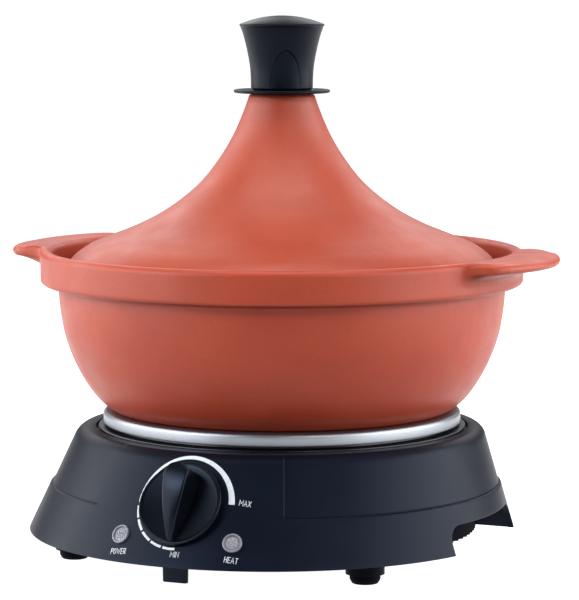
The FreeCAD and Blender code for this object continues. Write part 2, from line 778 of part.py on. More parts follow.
def make_housing():
    """The housing: a leaning cone shell with its ledge, panel holes, notches, bosses and tab."""
    outer = leaning_cone("skin_full", "0", "0", "base_top", shoulder=True)
    inset = leaning_cone("skin_inset", "seam_step", "0", "base_top", shoulder=True)
    cavity = leaning_cone("cavity", "base_wall", "-5", "ledge_under")
    solid = fuse("housing_solid", [inset, common("full_radius_skin", outer, panel_zone())])

    trim = place(block("skirt_trim", "400", "400", "skirt_bottom + 5"), "-200", "-200", "-5")
    opening = place(cylinder("ledge_opening", "ledge_radius", "20"), up="ledge_under - 5")
    recess = place(cylinder("plate_recess", "recess_radius", "10"), up="ledge_top")
    lamp_holes = [in_frame(cylinder("lamp_hole_" + name, "bezel_barrel + 0.05", "20"), frame, "-14")
                  for name, frame in lamp_frames.items()]
    shell = cut("housing_shell", solid,
                fuse("housing_spaces", [cavity, trim, opening, recess, notch_tool()] + lamp_holes))

    tab = place(block("tab_blank", "tab_width", "tab_thickness", "31"), "-tab_width / 2",
                "-tab_front", "tab_bottom")
    extras = []
    holes = []
    for index, sides in enumerate(BOSSES, start=1):
        across, along = boss_place(*sides)
        boss = cylinder("boss_%d" % index, "boss_radius", "boss_top - drum_bottom - drum_floor")
        extras.append(place(boss, across, along, "drum_bottom + drum_floor"))
        hole = cylinder("boss_hole_%d" % index, "cover_screw_radius + 0.05", "cover_screw_length + 2")
        holes.append(place(hole, across, along, "drum_bottom"))
        web = block("web_%d" % index, "40", "3", "boss_top - drum_top - 2")
        start = "boss_across" if sides[0] > 0 else "-boss_across - 40"
        extras.append(place(web, start, along + " - 1.5", "drum_top + 2"))
    for end, along in (("front", "notch_middle - notch_width / 2 - bulkhead_thickness"),
                       ("rear", "notch_middle + notch_width / 2")):
        for side, start in (("right", "bulkhead_" + end), ("left", "-bulkhead_%s - 60" % end)):
            wall = block("wall_%s_%s" % (end, side), "60", "bulkhead_thickness", "bulkhead_top - skirt_bottom")
            extras.append(place(wall, start, along, "skirt_bottom"))
    inner_skin = common("inner_extras", fuse("extras", [tab] + extras), leaning_cone("skin_clip", "2", "0", "66"))
    dial_boss = in_frame(cylinder("dial_boss", "dial_boss_radius", "dial_boss_depth - 2.5"), dial_frame,
                         "-dial_boss_depth")
    inlet_boss = along_y(cylinder("inlet_boss", "inlet_boss_radius", "inlet_face - inlet_inner"),
                         "inlet_inner", "inlet_height")
    holes.append(in_frame(cylinder("dial_hole", "bush_radius + 0.1", "12"), dial_frame, "-10"))
    holes.append(in_frame(cylinder("dial_pocket", "pocket_radius", "8"), dial_frame, "-pocket_depth"))
    holes.append(along_y(cylinder("inlet_hole", "gland_radius + 0.05", "30"), "inlet_inner - 5",
                         "inlet_height"))
    full_shape = fuse("housing_full", [shell, inner_skin, dial_boss, inlet_boss])
    node(cut("base_housing", full_shape, fuse("housing_holes", holes)), "base_housing")

    gland = turned("cord_gland", [
        ("gland_bore", "-2.5"), ("gland_lock", "-2.5"), ("gland_lock", "0"), ("gland_radius", "0"),
        ("gland_radius", "inlet_face - inlet_inner"), ("gland_flange", "inlet_face - inlet_inner"),
        ("gland_flange", "inlet_face - inlet_inner + gland_flange_thickness - 0.8"),
        ("gland_flange - 0.8", "inlet_face - inlet_inner + gland_flange_thickness"),
        ("gland_bore", "inlet_face - inlet_inner + gland_flange_thickness")])
    node(along_y(gland, "inlet_inner", "inlet_height"), "cord_gland")


# ---------------------------------------------------------------- lamps and thermostat

def make_lamps():
    """Two indicator lamps: a bezel in the panel, a lens in the bezel and a neon behind it."""
    for name, frame in lamp_frames.items():
        bezel = turned("lamp_bezel_" + name, [
            ("lens_radius + 0.05", "-bezel_depth"), ("bezel_barrel", "-bezel_depth"),
            ("bezel_barrel", "0"), ("bezel_radius", "0"), ("bezel_radius", "bezel_thickness - 0.5"),
            ("bezel_radius - 0.5", "bezel_thickness"), ("lens_radius + 0.85", "bezel_thickness"),
            ("lens_radius + 0.05", "bezel_thickness - 0.8")])
        node(in_frame(bezel, frame), "lamp_bezel_" + name)
        lens = turned("lamp_lens_" + name, [
            ("0", "lens_bottom"), ("lens_radius", "lens_bottom"), ("lens_radius", "lens_top - 0.6"),
            ("lens_radius - 0.6", "lens_top"), ("0", "lens_top")])
        node(in_frame(lens, frame), "lamp_lens_" + name)
        neon = turned("neon_lamp_" + name, [
            ("0", "lens_bottom - 1 - neon_length"), ("neon_radius", "lens_bottom - 1 - neon_length"),
            ("neon_radius", "lens_bottom - 2.2"), ("neon_radius - 1.2", "lens_bottom - 1"),
            ("0", "lens_bottom - 1")])
        node(in_frame(neon, frame), "neon_lamp_" + name)


def make_thermostat():
    """The thermostat behind the panel, with its threaded bush and the nut under the dial."""
    case = block("thermostat_case", "thermostat_width", "thermostat_length", "thermostat_depth")
    in_frame(case, dial_frame, "-dial_boss_depth - thermostat_depth", "-thermostat_width / 2",
             "-thermostat_length / 2")
    bore = cylinder("thermostat_bore", "shaft_radius + running_gap", "10")
    in_frame(bore, dial_frame, "shaft_bottom - 0.5")
    node(cut("thermostat_body", case, bore), "thermostat_body")
    bush = turned("thermostat_bush", [
        ("shaft_radius + running_gap", "-dial_boss_depth"), ("bush_radius", "-dial_boss_depth"),
        ("bush_radius", "bush_top"), ("shaft_radius + running_gap", "bush_top")])
    node(in_frame(bush, dial_frame), "thermostat_bush")
    blank = doc.addObject("Part::Prism", "control_nut_blank")
    blank.Polygon = 6
    bind(blank, Circumradius="control_nut_corner", Height="control_nut_height")
    in_frame(blank, dial_frame, "-pocket_depth")
    bore = in_frame(cylinder("control_nut_bore", "bush_radius + 0.02", "10"), dial_frame, "-4")
    node(cut("thermostat_nut", blank, bore), "thermostat_nut")


# ---------------------------------------------------------------- dial

def grip_outline(sketch, extra):
    """A drop shape: a wide round end up the slope, two bowed sides and a narrow pointer."""
    wide = value("grip_wide_radius") + extra
    point = value("grip_point_radius") + extra * 0.7
    high = value("grip_wide_middle")
    low = value("grip_point_middle")
    side_y = -(wide - point) / (high - low)
    side_x = math.sqrt(1 - side_y ** 2)
    upper = (wide * side_x, high + wide * side_y)
    lower = (point * side_x, low + point * side_y)
    bulge = value("grip_bulge")
    flank = ((upper[0] + lower[0]) / 2 + bulge, (upper[1] + lower[1]) / 2)
    draw(sketch, upper,
         ("arc", flank, lower),
         ("arc", (0, low - point), (-lower[0], lower[1])),
         ("arc", (-flank[0], flank[1]), (-upper[0], upper[1])),
         ("arc", (0, high + wide), upper))


def make_dial():
    """The dished dial disc with its drop-shaped grip, and the shaft that it turns on."""
    body = doc.addObject("PartDesign::Body", "dial")
    section = sketch_on(body, "dial_section", "XZ_Plane")
    rim = value("dial_rim")
    radius = value("dial_radius")
    gap = value("dial_gap")
    hollow = value("dial_hollow_radius")
    under = value("dial_hollow_top")
    dish = (radius - 1.4, rim)
    dip = value("dial_rim - 1.3")
    draw(section, (0, under),
         ("line", (hollow, under)),
         ("line", (hollow, gap)),
         ("line", (radius - 0.5, gap)),
         ("line", (radius, gap + 0.5)),
         ("line", (radius, rim - 0.9)),
         ("arc", (radius - 0.26, rim - 0.26), (radius - 0.9, rim)),
         ("line", dish),
         ("arc", bow(dish, dip), (0, dip)),
         ("line", (0, under)))
    disc = revolve(body, section)

    rings = []
    for tag, height, extra in (("base", "grip_base", value("grip_draft")), ("top", "grip_top", 0.0)):
        ring = sketch_on(body, "grip_" + tag, "XY_Plane", height)
        grip_outline(ring, extra)
        rings.append(ring)
    grip = body.newObject("PartDesign::AdditiveLoft", "grip_loft")
    grip.Profile = rings[0]
    grip.Sections = [rings[1]]
    grip.Ruled = True

    crest = sketch_on(body, "grip_crest", "YZ_Plane")
    top = value("grip_top")
    draw(crest, (-30, top + 4),
         ("line", (-30, top - 17.0)),
         ("arc", (-4.0, top - 3.3), (30, top - 2.1)),
         ("line", (30, top + 4)),
         ("line", (-30, top + 4)))
    crown = body.newObject("PartDesign::Pocket", "grip_crown")
    crown.Profile = crest
    crown.Midplane = True
    bind(crown, Length="60")

    bore_sketch = sketch_on(body, "shaft_hole", "XY_Plane", "0")
    bound_circle(bore_sketch, "shaft_radius + 0.02")
    bore = body.newObject("PartDesign::Pocket", "shaft_bore")
    bore.Profile = bore_sketch
    bore.Reversed = True
    bind(bore, Length="shaft_top + 0.5")
    node(in_frame(body, dial_frame), "dial")

    shaft = cylinder("dial_shaft", "shaft_radius", "shaft_top - shaft_bottom")
    node(in_frame(shaft, dial_frame, "shaft_bottom"), "dial_shaft")


# ---------------------------------------------------------------- build, test and write

make_lid()
make_knob()
make_pot()
make_heating()
make_cover()
make_housing()
make_lamps()
make_thermostat()
make_dial()
doc.recompute()

for thing in doc.Objects:
    if "Invalid" in thing.State or "Error" in thing.State:
        raise RuntimeError("%s did not build: %s" % (thing.Name, thing.State))
for thing in nodes:
    if thing.Shape.isNull() or not thing.Shape.isValid():
        raise RuntimeError("%s has a bad shape" % thing.Label)

os.makedirs("parts", exist_ok=True)
for thing in nodes:
    thing.Shape.exportStep("parts/%s.step" % thing.Label)
    print("%-22s solids %d volume %.1f" % (thing.Label, len(thing.Shape.Solids), thing.Shape.Volume))
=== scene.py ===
"""Looks of the electric tagine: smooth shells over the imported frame, materials, light and camera.

Shapes are worked out in millimetres, +Z up, with the dial facing -Y, and turned into metres when a
piece is made.
"""
import json
import math

import bpy
from mathutils import Matrix, Vector


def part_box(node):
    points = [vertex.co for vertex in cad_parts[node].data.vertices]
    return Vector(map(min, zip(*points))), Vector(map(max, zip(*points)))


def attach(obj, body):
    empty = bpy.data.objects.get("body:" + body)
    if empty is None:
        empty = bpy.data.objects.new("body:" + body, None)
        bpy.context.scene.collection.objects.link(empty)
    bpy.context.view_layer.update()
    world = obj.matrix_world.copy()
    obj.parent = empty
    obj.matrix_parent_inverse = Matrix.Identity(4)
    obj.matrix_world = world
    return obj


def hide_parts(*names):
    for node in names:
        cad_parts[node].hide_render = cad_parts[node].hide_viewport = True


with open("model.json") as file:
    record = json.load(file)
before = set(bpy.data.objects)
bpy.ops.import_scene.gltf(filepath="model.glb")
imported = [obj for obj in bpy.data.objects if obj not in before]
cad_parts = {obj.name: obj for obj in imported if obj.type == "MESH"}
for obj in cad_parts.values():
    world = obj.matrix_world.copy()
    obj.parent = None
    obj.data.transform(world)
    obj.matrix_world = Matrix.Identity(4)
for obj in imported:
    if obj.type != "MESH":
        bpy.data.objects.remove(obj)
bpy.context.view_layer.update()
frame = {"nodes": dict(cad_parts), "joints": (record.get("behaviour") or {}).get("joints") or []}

MM = 0.001
# how far the feet reach below the height that shapes are worked out from
LIFT = 1.5


def cad_box(node):
    """A node's lowest and highest corners in millimetres, heights from the working height."""
    low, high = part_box(node)
    down = Vector((0, 0, LIFT))
    return low / MM - down, high / MM - down


PLATE_LOW, PLATE_HIGH = cad_box("hot_plate")
POT_LOW, POT_HIGH = cad_box("pot")
LID_LOW, LID_HIGH = cad_box("lid")
HOUSING_HIGH = cad_box("base_housing")[1]
KNOB_LOW, KNOB_HIGH = cad_box("lid_knob")
FLANGE_LOW, FLANGE_HIGH = cad_box("knob_flange")
DIAL_JOINT = [joint for joint in frame["joints"] if joint["name"] == "dial_turn"][0]

AXIS_Y = (PLATE_LOW.y + PLATE_HIGH.y) / 2
PLATE_TOP = PLATE_HIGH.z
PLATE_RADIUS = (PLATE_HIGH.x - PLATE_LOW.x) / 2
RIM_TOP = 176.7
LEDGE = LID_LOW.z
BAND_RADIUS = (POT_HIGH.y - POT_LOW.y) / 2
EAR_RADIUS = POT_HIGH.x
BASE_TOP = HOUSING_HIGH.z

# the housing's leaning cone
BASE_RADIUS = 149.0
BASE_TAPER = 0.3776
BASE_OFFSET = -18.0
BASE_DRIFT = 0.2343
SHOULDER = 5.0
WALL = 3.5
SKIRT = 11.8
SEAM = 38.5
SEAM_STEP = 1.2
PANEL_HALF_ANGLE = 24.2
RECESS_RADIUS = 111.3
LEDGE_TOP = 68.0
LEDGE_UNDER = 65.4
LEDGE_RADIUS = 98.0
NOTCH_HALF = 48.1
NOTCH_MIDDLE = -14.9
NOTCH_TOP = 27.4
NOTCH_CORNER = 10.5

# the walls at the ends of each notch: how far along the side, and how near the middle they reach
# (the rear ones run just into the drum)
BULKHEAD_HALF = 1.25
BULKHEAD_TOP = 40.0
BULKHEADS = ((NOTCH_MIDDLE - NOTCH_HALF - BULKHEAD_HALF, 109.0),
             (NOTCH_MIDDLE + NOTCH_HALF + BULKHEAD_HALF, 110.8))


# ---- curves in a section

def arc_by_middle(start, middle, end, steps=8):
    """Points after start along the circle through three points."""
    (ax, ay), (bx, by), (cx, cy) = start, middle, end
    d = 2 * (ax * (by - cy) + bx * (cy - ay) + cx * (ay - by))
    ux = ((ax**2 + ay**2) * (by - cy) + (bx**2 + by**2) * (cy - ay) + (cx**2 + cy**2) * (ay - by)) / d
    uy = ((ax**2 + ay**2) * (cx - bx) + (bx**2 + by**2) * (ax - cx) + (cx**2 + cy**2) * (bx - ax)) / d
    radius = math.hypot(ax - ux, ay - uy)
    first = math.atan2(ay - uy, ax - ux)
    mid = math.atan2(by - uy, bx - ux)
    last = math.atan2(cy - uy, cx - ux)
    sweep = (last - first) % math.tau
    if (mid - first) % math.tau > sweep:
        sweep -= math.tau
    return [(ux + radius * math.cos(first + sweep * k / steps),
             uy + radius * math.sin(first + sweep * k / steps)) for k in range(1, steps + 1)]


def smooth(points, steps=6):
    """Points after the first along a centripetal curve through them all."""
    ends = [tuple(2 * a - b for a, b in zip(points[0], points[1]))] + list(points)
    ends.append(tuple(2 * a - b for a, b in zip(points[-1], points[-2])))
    made = []
    for p0, p1, p2, p3 in zip(ends, ends[1:], ends[2:], ends[3:]):
        t1 = math.dist(p0, p1) ** 0.5
        t2 = t1 + math.dist(p1, p2) ** 0.5
        t3 = t2 + math.dist(p2, p3) ** 0.5
        for k in range(1, steps + 1):
            t = t1 + (t2 - t1) * k / steps
            spot = []
            for a, b, c, d in zip(p0, p1, p2, p3):
                ab = a + (b - a) * t / t1
                bc = b + (c - b) * (t - t1) / (t2 - t1)
                cd = c + (d - c) * (t - t2) / (t3 - t2)
                abc = ab + (bc - ab) * t / t2
                bcd = bc + (cd - bc) * (t - t1) / (t3 - t1)
                spot.append(abc + (bcd - abc) * (t - t1) / (t2 - t1))
            made.append(tuple(spot))
    return made


def trace(start, *moves):
    """A section as points: each move is a line, an arc (by a middle point) or a smooth curve."""
    points = [start]
    for kind, *stops in moves:
        if kind == "line":
            points.extend(stops)
        elif kind == "arc":
            points.extend(arc_by_middle(points[-1], stops[0], stops[1]))
        else:
            points.extend(smooth([points[-1]] + stops))
    return points


def rounded(corners, steps=4):
    """A section from (x, y, rounding) corners; the first and last keep their places."""
    points = [corners[0][:2]]
    for before, corner, after in zip(corners, corners[1:], corners[2:]):
        radius = corner[2] if len(corner) > 2 else 0
        if not radius:
            points.append(corner[:2])
            continue
        here = Vector(corner[:2])
        back = (Vector(before[:2]) - here).normalized()
        ahead = (Vector(after[:2]) - here).normalized()
        half = back.angle(ahead) / 2
        reach = radius / math.tan(half)
        centre = here + (back + ahead).normalized() * radius / math.sin(half)
        first = here + back * reach
        last = here + ahead * reach
        middle = centre + (here - centre).normalized() * radius
        points.append(tuple(first))
        points.extend(arc_by_middle(tuple(first), tuple(middle), tuple(last), steps))
    points.append(corners[-1][:2])
    return points


def ease(amount):
    """0 to 1 with a soft start and end."""
    amount = min(max(amount, 0.0), 1.0)
    return amount * amount * (3 - 2 * amount)


# ---- making pieces

def make_piece(name, shape, material, body, stands_for=(), sharp=40, place=None):
    """A mesh piece that rides on a body, from a shape given as millimetre points and faces."""
    verts, faces = shape
    mesh = bpy.data.meshes.new(name)
    mesh.from_pydata([(x * MM, y * MM, z * MM) for x, y, z in verts], [], faces)
    tidy_mesh(mesh)
    mesh.polygons.foreach_set("use_smooth", [True] * len(mesh.polygons))
    mesh.set_sharp_from_angle(angle=math.radians(sharp))
    mesh.materials.append(material)
    piece = bpy.data.objects.new(name, mesh)
    piece.matrix_world = Matrix.Translation((0, 0, LIFT * MM)) @ (place or Matrix())
    bpy.context.scene.collection.objects.link(piece)
    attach(piece, body)
    if stands_for:
        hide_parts(*stands_for)
    return piece


def tidy_mesh(mesh):
    """Join the doubled points of poles and seams and turn every face outwards."""
    import bmesh
    work = bmesh.new()
    work.from_mesh(mesh)
    bmesh.ops.remove_doubles(work, verts=work.verts, dist=1e-7)
    bmesh.ops.recalc_face_normals(work, faces=work.faces)
    work.to_mesh(mesh)
    work.free()


def net(rows, closed_rows=False):
    """Points and faces of a net whose rows are closed rings; closed_rows joins last row to first."""
    count = len(rows[0])
    verts = [spot for row in rows for spot in row]
    faces = []
    pairs = len(rows) if closed_rows else len(rows) - 1
    for a in range(pairs):
        b = (a + 1) % len(rows)
        for k in range(count):
            m = (k + 1) % count
            faces.append((a * count + k, a * count + m, b * count + m, b * count + k))
    return verts, faces


def join(*parts):
    """Several (points, faces) lists as one."""
    verts = []
    faces = []
    for more_verts, more_faces in parts:
        shift = len(verts)
        verts.extend(more_verts)
        faces.extend(tuple(index + shift for index in face) for face in more_faces)
    return verts, faces


def lathe(section, middle=(0.0, 0.0), segments=192):
    """A section of (radius, height) turned about an upright axis."""
    rows = []
    for radius, height in section:
        rows.append([(middle[0] + radius * math.cos(math.tau * k / segments),
                      middle[1] + radius * math.sin(math.tau * k / segments), height)
                     for k in range(segments)])
    return net(rows)


# ---- materials

def toned(colour, share):
    """A colour made darker or lighter."""
    return tuple(c * share for c in colour)


def mixed(nodes, links, factor, first, second):
    """Two colours mixed by a value."""
    node = nodes.new("ShaderNodeMix")
    node.data_type = "RGBA"
    links.new(factor, node.inputs[0])
    for socket, colour in ((node.inputs[6], first), (node.inputs[7], second)):
        if isinstance(colour, tuple):
            socket.default_value = (*colour, 1.0)
        else:
            links.new(colour, socket)
    return node.outputs[2]


class Look:
    """A material in the making: its shader, its object coordinates and what feeds them."""

    def __init__(self, name):
        self.material = bpy.data.materials.new(name)
        self.material.use_nodes = True
        self.nodes = self.material.node_tree.nodes
        self.links = self.material.node_tree.links
        self.shader = self.nodes["Principled BSDF"]
        self.where = self.nodes.new("ShaderNodeTexCoord").outputs["Object"]

    def feed(self, socket, value):
        """Give a shader input a plain value or another node's output."""
        if isinstance(value, bpy.types.NodeSocket):
            self.links.new(value, self.shader.inputs[socket])
        else:
            self.shader.inputs[socket].default_value = value

    def noise(self, scale, detail=3.0, where=None):
        """A noise value at a scale in features per metre."""
        texture = self.nodes.new("ShaderNodeTexNoise")
        texture.inputs["Scale"].default_value = scale
        texture.inputs["Detail"].default_value = detail
        self.links.new(where or self.where, texture.inputs["Vector"])
        return texture.outputs["Fac"]

    def mapped(self, location, scale):
        """The object coordinates scaled and then shifted."""
        mapping = self.nodes.new("ShaderNodeMapping")
        mapping.inputs["Location"].default_value = location
        mapping.inputs["Scale"].default_value = scale
        self.links.new(self.where, mapping.inputs["Vector"])
        return mapping.outputs["Vector"]

    def turned(self):
        """Coordinates that change only with height and the distance from the pot's axis."""
        length = self.nodes.new("ShaderNodeVectorMath")
        length.operation = "LENGTH"
        self.links.new(self.mapped((0.0, -AXIS_Y * MM, 0.0), (1.0, 1.0, 0.0)), length.inputs[0])
        parts = self.nodes.new("ShaderNodeSeparateXYZ")
        self.links.new(self.where, parts.inputs["Vector"])
        rings = self.nodes.new("ShaderNodeCombineXYZ")
        self.links.new(length.outputs["Value"], rings.inputs["X"])
        self.links.new(parts.outputs["Z"], rings.inputs["Y"])
        return rings.outputs["Vector"]

    def ramp(self, value, stops):
        """Colours (or greys) spread over a value."""
        node = self.nodes.new("ShaderNodeValToRGB")
        band = node.color_ramp
        while len(band.elements) < len(stops):
            band.elements.new(0.5)
        for element, (spot, colour) in zip(band.elements, stops):
            element.position = spot
            element.color = (*colour, 1.0) if isinstance(colour, tuple) else (colour, colour, colour, 1.0)
        self.links.new(value, node.inputs["Fac"])
        return node.outputs["Color"]

    def mixed(self, factor, first, second):
        return mixed(self.nodes, self.links, factor, first, second)

    def bump(self, *heights):
        """Bumps from (value, strength, depth in metres) laid over each other."""
        last = None
        for height, strength, depth in heights:
            node = self.nodes.new("ShaderNodeBump")
            node.inputs["Strength"].default_value = strength
            node.inputs["Distance"].default_value = depth
            self.links.new(height, node.inputs["Height"])
            if last:
                self.links.new(last, node.inputs["Normal"])
            last = node.outputs["Normal"]
        self.feed("Normal", last)


def glaze(name, dark, light, shine):
    """Satin terracotta glaze: soft mottling, fine specks and a faintly uneven surface."""
    look = Look(name)
    blotch = look.ramp(look.noise(22.0, 4.0), [(0.30, dark), (0.70, light)])
    specks = look.ramp(look.noise(420.0, 2.0), [(0.30, 0.0), (0.75, 0.22)])
    look.feed("Base Color", look.mixed(specks, blotch, toned(dark, 0.72)))
    look.feed("Roughness", look.ramp(look.noise(60.0), [(0.3, 0.40), (0.7, 0.50)]))
    look.feed("Specular IOR Level", shine)
    look.bump((look.noise(150.0, 2.0), 0.25, 0.0004), (look.noise(1500.0, 2.0), 0.22, 0.00008))
    return look.material


def moulded(name, colour, low, high, grain, depth, gloss=0.5, tint=(0.78, 0.86, 1.0)):
    """Moulded plastic or rubber: a fine grain in the surface and a faintly uneven gloss."""
    look = Look(name)
    cloud = look.noise(35.0)
    look.feed("Base Color", look.ramp(cloud, [(0.3, toned(colour, 0.85)), (0.7, toned(colour, 1.15))]))
    look.feed("Roughness", look.ramp(cloud, [(0.25, low), (0.75, high)]))
    look.feed("Specular IOR Level", gloss)
    look.feed("Specular Tint", (*tint, 1.0))
    look.bump((look.noise(grain, 2.0), 0.35, depth))
    return look.material


def machined(name, colour, low, high, round_axis=True):
    """Metal with fine turning lines round its axis, or plain fine scratches."""
    look = Look(name)
    if round_axis:
        lines = look.noise(1400.0, 3.0, look.turned())
    else:
        lines = look.noise(500.0, 4.0, look.mapped((0.0, 0.0, 0.0), (1.0, 1.0, 6.0)))
    shade = look.ramp(lines, [(0.3, toned(colour, 0.78)), (0.7, colour)])
    look.feed("Metallic", 1.0)
    look.feed("Base Color", look.mixed(look.noise(40.0), shade, toned(colour, 0.8)))
    look.feed("Roughness", look.ramp(lines, [(0.3, low), (0.7, high)]))
    look.bump((lines, 0.3, 0.00003))
    return look.material


def clear(name, colour, roughness):
    """Clear moulded plastic or glass with a faint ripple."""
    look = Look(name)
    ripple = look.noise(600.0, 2.0)
    look.feed("Base Color", look.ramp(ripple, [(0.3, toned(colour, 0.94)), (0.7, colour)]))
    look.feed("Roughness", look.ramp(ripple, [(0.3, roughness), (0.7, roughness * 1.6)]))
    look.feed("Transmission Weight", 0.65)
    look.feed("IOR", 1.49)
    look.bump((ripple, 0.15, 0.0001))
    return look.material


def ink(name):
    """White screen-printed ink with slightly uneven cover."""
    look = Look(name)
    cover = look.noise(900.0)
    look.feed("Base Color", look.ramp(cover, [(0.3, (0.62, 0.68, 0.70)), (0.6, (0.74, 0.80, 0.82))]))
    look.feed("Roughness", look.ramp(cover, [(0.3, 0.45), (0.7, 0.6)]))
    look.bump((cover, 0.2, 0.00003))
    return look.material


def paper(name):
    """Pale matt paper that glows enough to stay white in the picture."""
    look = Look(name)
    look.feed("Base Color", look.ramp(look.noise(3.0, 2.0), [(0.3, 0.49), (0.7, 0.51)]))
    look.feed("Roughness", 0.9)
    look.feed("Specular IOR Level", 0.0)
    look.feed("Emission Color", (1.0, 1.0, 1.0, 1.0))
    look.feed("Emission Strength", 1.0)
    return look.material


LID_GLAZE = glaze("lid_glaze", (0.325, 0.041, 0.015), (0.390, 0.055, 0.021), 0.45)
POT_GLAZE = glaze("pot_glaze", (0.360, 0.039, 0.012), (0.430, 0.053, 0.018), 0.38)
BLUISH = (0.62, 0.76, 1.0)
BASE_PLASTIC = moulded("base_plastic", (0.0018, 0.0031, 0.0090), 0.38, 0.46, 1800.0, 0.00006, 0.145, BLUISH)
COVER_PLASTIC = moulded("cover_plastic", (0.0015, 0.0020, 0.0032), 0.45, 0.55, 1500.0, 0.00006, 0.06, BLUISH)
KNOB_PLASTIC = moulded("knob_plastic", (0.0024, 0.0034, 0.0056), 0.32, 0.40, 2200.0, 0.00004, 0.10, BLUISH)
DIAL_PLASTIC = moulded("dial_plastic", (0.0014, 0.0020, 0.0034), 0.22, 0.30, 2500.0, 0.00003, 0.17, BLUISH)
FOOT_RUBBER = moulded("foot_rubber", (0.0015, 0.0018, 0.0026), 0.6, 0.75, 1200.0, 0.00008, 0.06, BLUISH)
SEAL_RUBBER = moulded("seal_rubber", (0.05, 0.05, 0.05), 0.5, 0.65, 1200.0, 0.00006)
BLOCK_PLASTIC = moulded("block_plastic", (0.62, 0.58, 0.48), 0.4, 0.5, 900.0, 0.00006)
CASE_PLASTIC = moulded("case_plastic", (0.055, 0.022, 0.012), 0.35, 0.5, 900.0, 0.00006)
FUSE_CERAMIC = moulded("fuse_ceramic", (0.72, 0.70, 0.64), 0.5, 0.65, 700.0, 0.00008)
LEAD_SLEEVE = moulded("lead_sleeve", (0.55, 0.52, 0.44), 0.7, 0.85, 2600.0, 0.00012)
BEZEL_PLASTIC = moulded("bezel_plastic", (0.22, 0.22, 0.26), 0.10, 0.18, 1800.0, 0.00002)
PLATE_METAL = machined("plate_metal", (0.32, 0.34, 0.37), 0.32, 0.44)
TRIM_METAL = machined("trim_metal", (0.055, 0.057, 0.065), 0.25, 0.38)
SHIELD_STEEL = machined("shield_steel", (0.62, 0.62, 0.62), 0.30, 0.45)
ELEMENT_STEEL = machined("element_steel", (0.20, 0.17, 0.15), 0.40, 0.60, round_axis=False)
FASTENER_STEEL = machined("fastener_steel", (0.56, 0.56, 0.58), 0.25, 0.40, round_axis=False)
INSERT_BRASS = machined("insert_brass", (0.72, 0.50, 0.20), 0.25, 0.40, round_axis=False)
LENS_CLEAR = clear("lens_clear", (0.88, 0.86, 0.92), 0.06)
NEON_GLASS = clear("neon_glass", (0.95, 0.72, 0.55), 0.04)
PRINT_INK = ink("print_ink")


# ---- the leaning cone and the panel

def cone_radius(height):
    return BASE_RADIUS - BASE_TAPER * height


def cone_middle(height):
    return BASE_OFFSET + BASE_DRIFT * height


def on_cone(angle, height, inset=0.0):
    """The housing's point at an angle (degrees from the front, as seen from the pot's axis)."""
    turn = math.radians(angle)
    middle = cone_middle(height)
    radius = cone_radius(height) - inset
    along = -middle * math.cos(turn)
    reach = along + math.sqrt(radius**2 - (middle * math.sin(turn)) ** 2)
    return reach * math.sin(turn), AXIS_Y - reach * math.cos(turn), height


def round_axis(angle, radius, height):
    """The point at an angle and radius about the pot's own axis."""
    turn = math.radians(angle)
    return radius * math.sin(turn), AXIS_Y - radius * math.cos(turn), height


def panel_matrix(angle, height):
    """The panel's tangent frame: x sideways, y up the slope, z out; its origin in metres."""
    turn = math.radians(angle)
    middle = cone_middle(height) + AXIS_Y
    radius = cone_radius(height)
    spot = Vector((radius * math.sin(turn), middle - radius * math.cos(turn), height))
    rise = math.atan(BASE_TAPER + BASE_DRIFT * math.cos(turn))
    spin = Matrix.Rotation(turn, 4, "Z") @ Matrix.Rotation(math.pi / 2 - rise, 4, "X")
    return Matrix.Translation(spot * MM) @ spin


DIAL_HEIGHT = DIAL_JOINT["pos_m"][2] / MM - LIFT
DIAL_PLACE = panel_matrix(0, DIAL_HEIGHT)
LAMP_HEIGHT = 25.9
LAMP_ANGLE = 14.3
LAMP_PLACES = {"left": panel_matrix(-LAMP_ANGLE, LAMP_HEIGHT), "right": panel_matrix(LAMP_ANGLE, LAMP_HEIGHT)}


def on_panel(x, y, lift):
    """A point of the dial's flat frame dropped onto the curved panel, then lifted off it."""
    spot = DIAL_PLACE @ Vector((x * MM, y * MM, 0)) / MM
    out = (DIAL_PLACE.to_3x3() @ Vector((0, 0, 1))).normalized()
    for _ in range(12):
        gap = math.hypot(spot.x, spot.y - AXIS_Y - cone_middle(spot.z)) - cone_radius(spot.z)
        spot = spot - out * gap * 0.8
    return tuple(spot + out * lift)


# ---- lid and knob

def make_lid():
    """The flared ceramic cone with a rounded foot, hollow below."""
    outer = [(129.2, 163.0), (128.3, 167.0), (124.2, 172.3), (115.5, 178.6), (102.0, 184.2),
             (84.9, 191.2), (67.5, 200.8), (49.5, 215.2), (37.8, 229.6), (29.1, 244.0), (22.8, 258.4),
             (19.9, 266.5)]
    inner = [(17.0, 255.9), (23.9, 241.0), (33.2, 225.8), (45.3, 210.7), (64.1, 195.8), (82.5, 185.7),
             (99.7, 178.7), (112.6, 173.4), (119.7, 168.6), (122.6, 165.2), (123.2, 162.0)]
    top = LID_HIGH.z
    section = trace((3.0, 259.0),
                    ("line", (12.4, 259.0)),
                    ("arc", (15.6, 258.0), inner[0]),
                    ("curve", *inner[1:]),
                    ("arc", (123.7, LEDGE + 0.5), (125.0, LEDGE)),
                    ("line", (127.4, LEDGE)),
                    ("arc", (128.7, LEDGE + 0.5), (129.2, LEDGE + 1.8)),
                    ("line", outer[0]),
                    ("curve", *outer[1:]),
                    ("arc", (19.2, top - 0.7), (17.8, top)),
                    ("line", (3.0, top)),
                    ("line", (3.0, 259.0)))
    make_piece("lid_shell", lathe(section, (0.0, AXIS_Y), 256), LID_GLAZE, "lid", ["lid"])


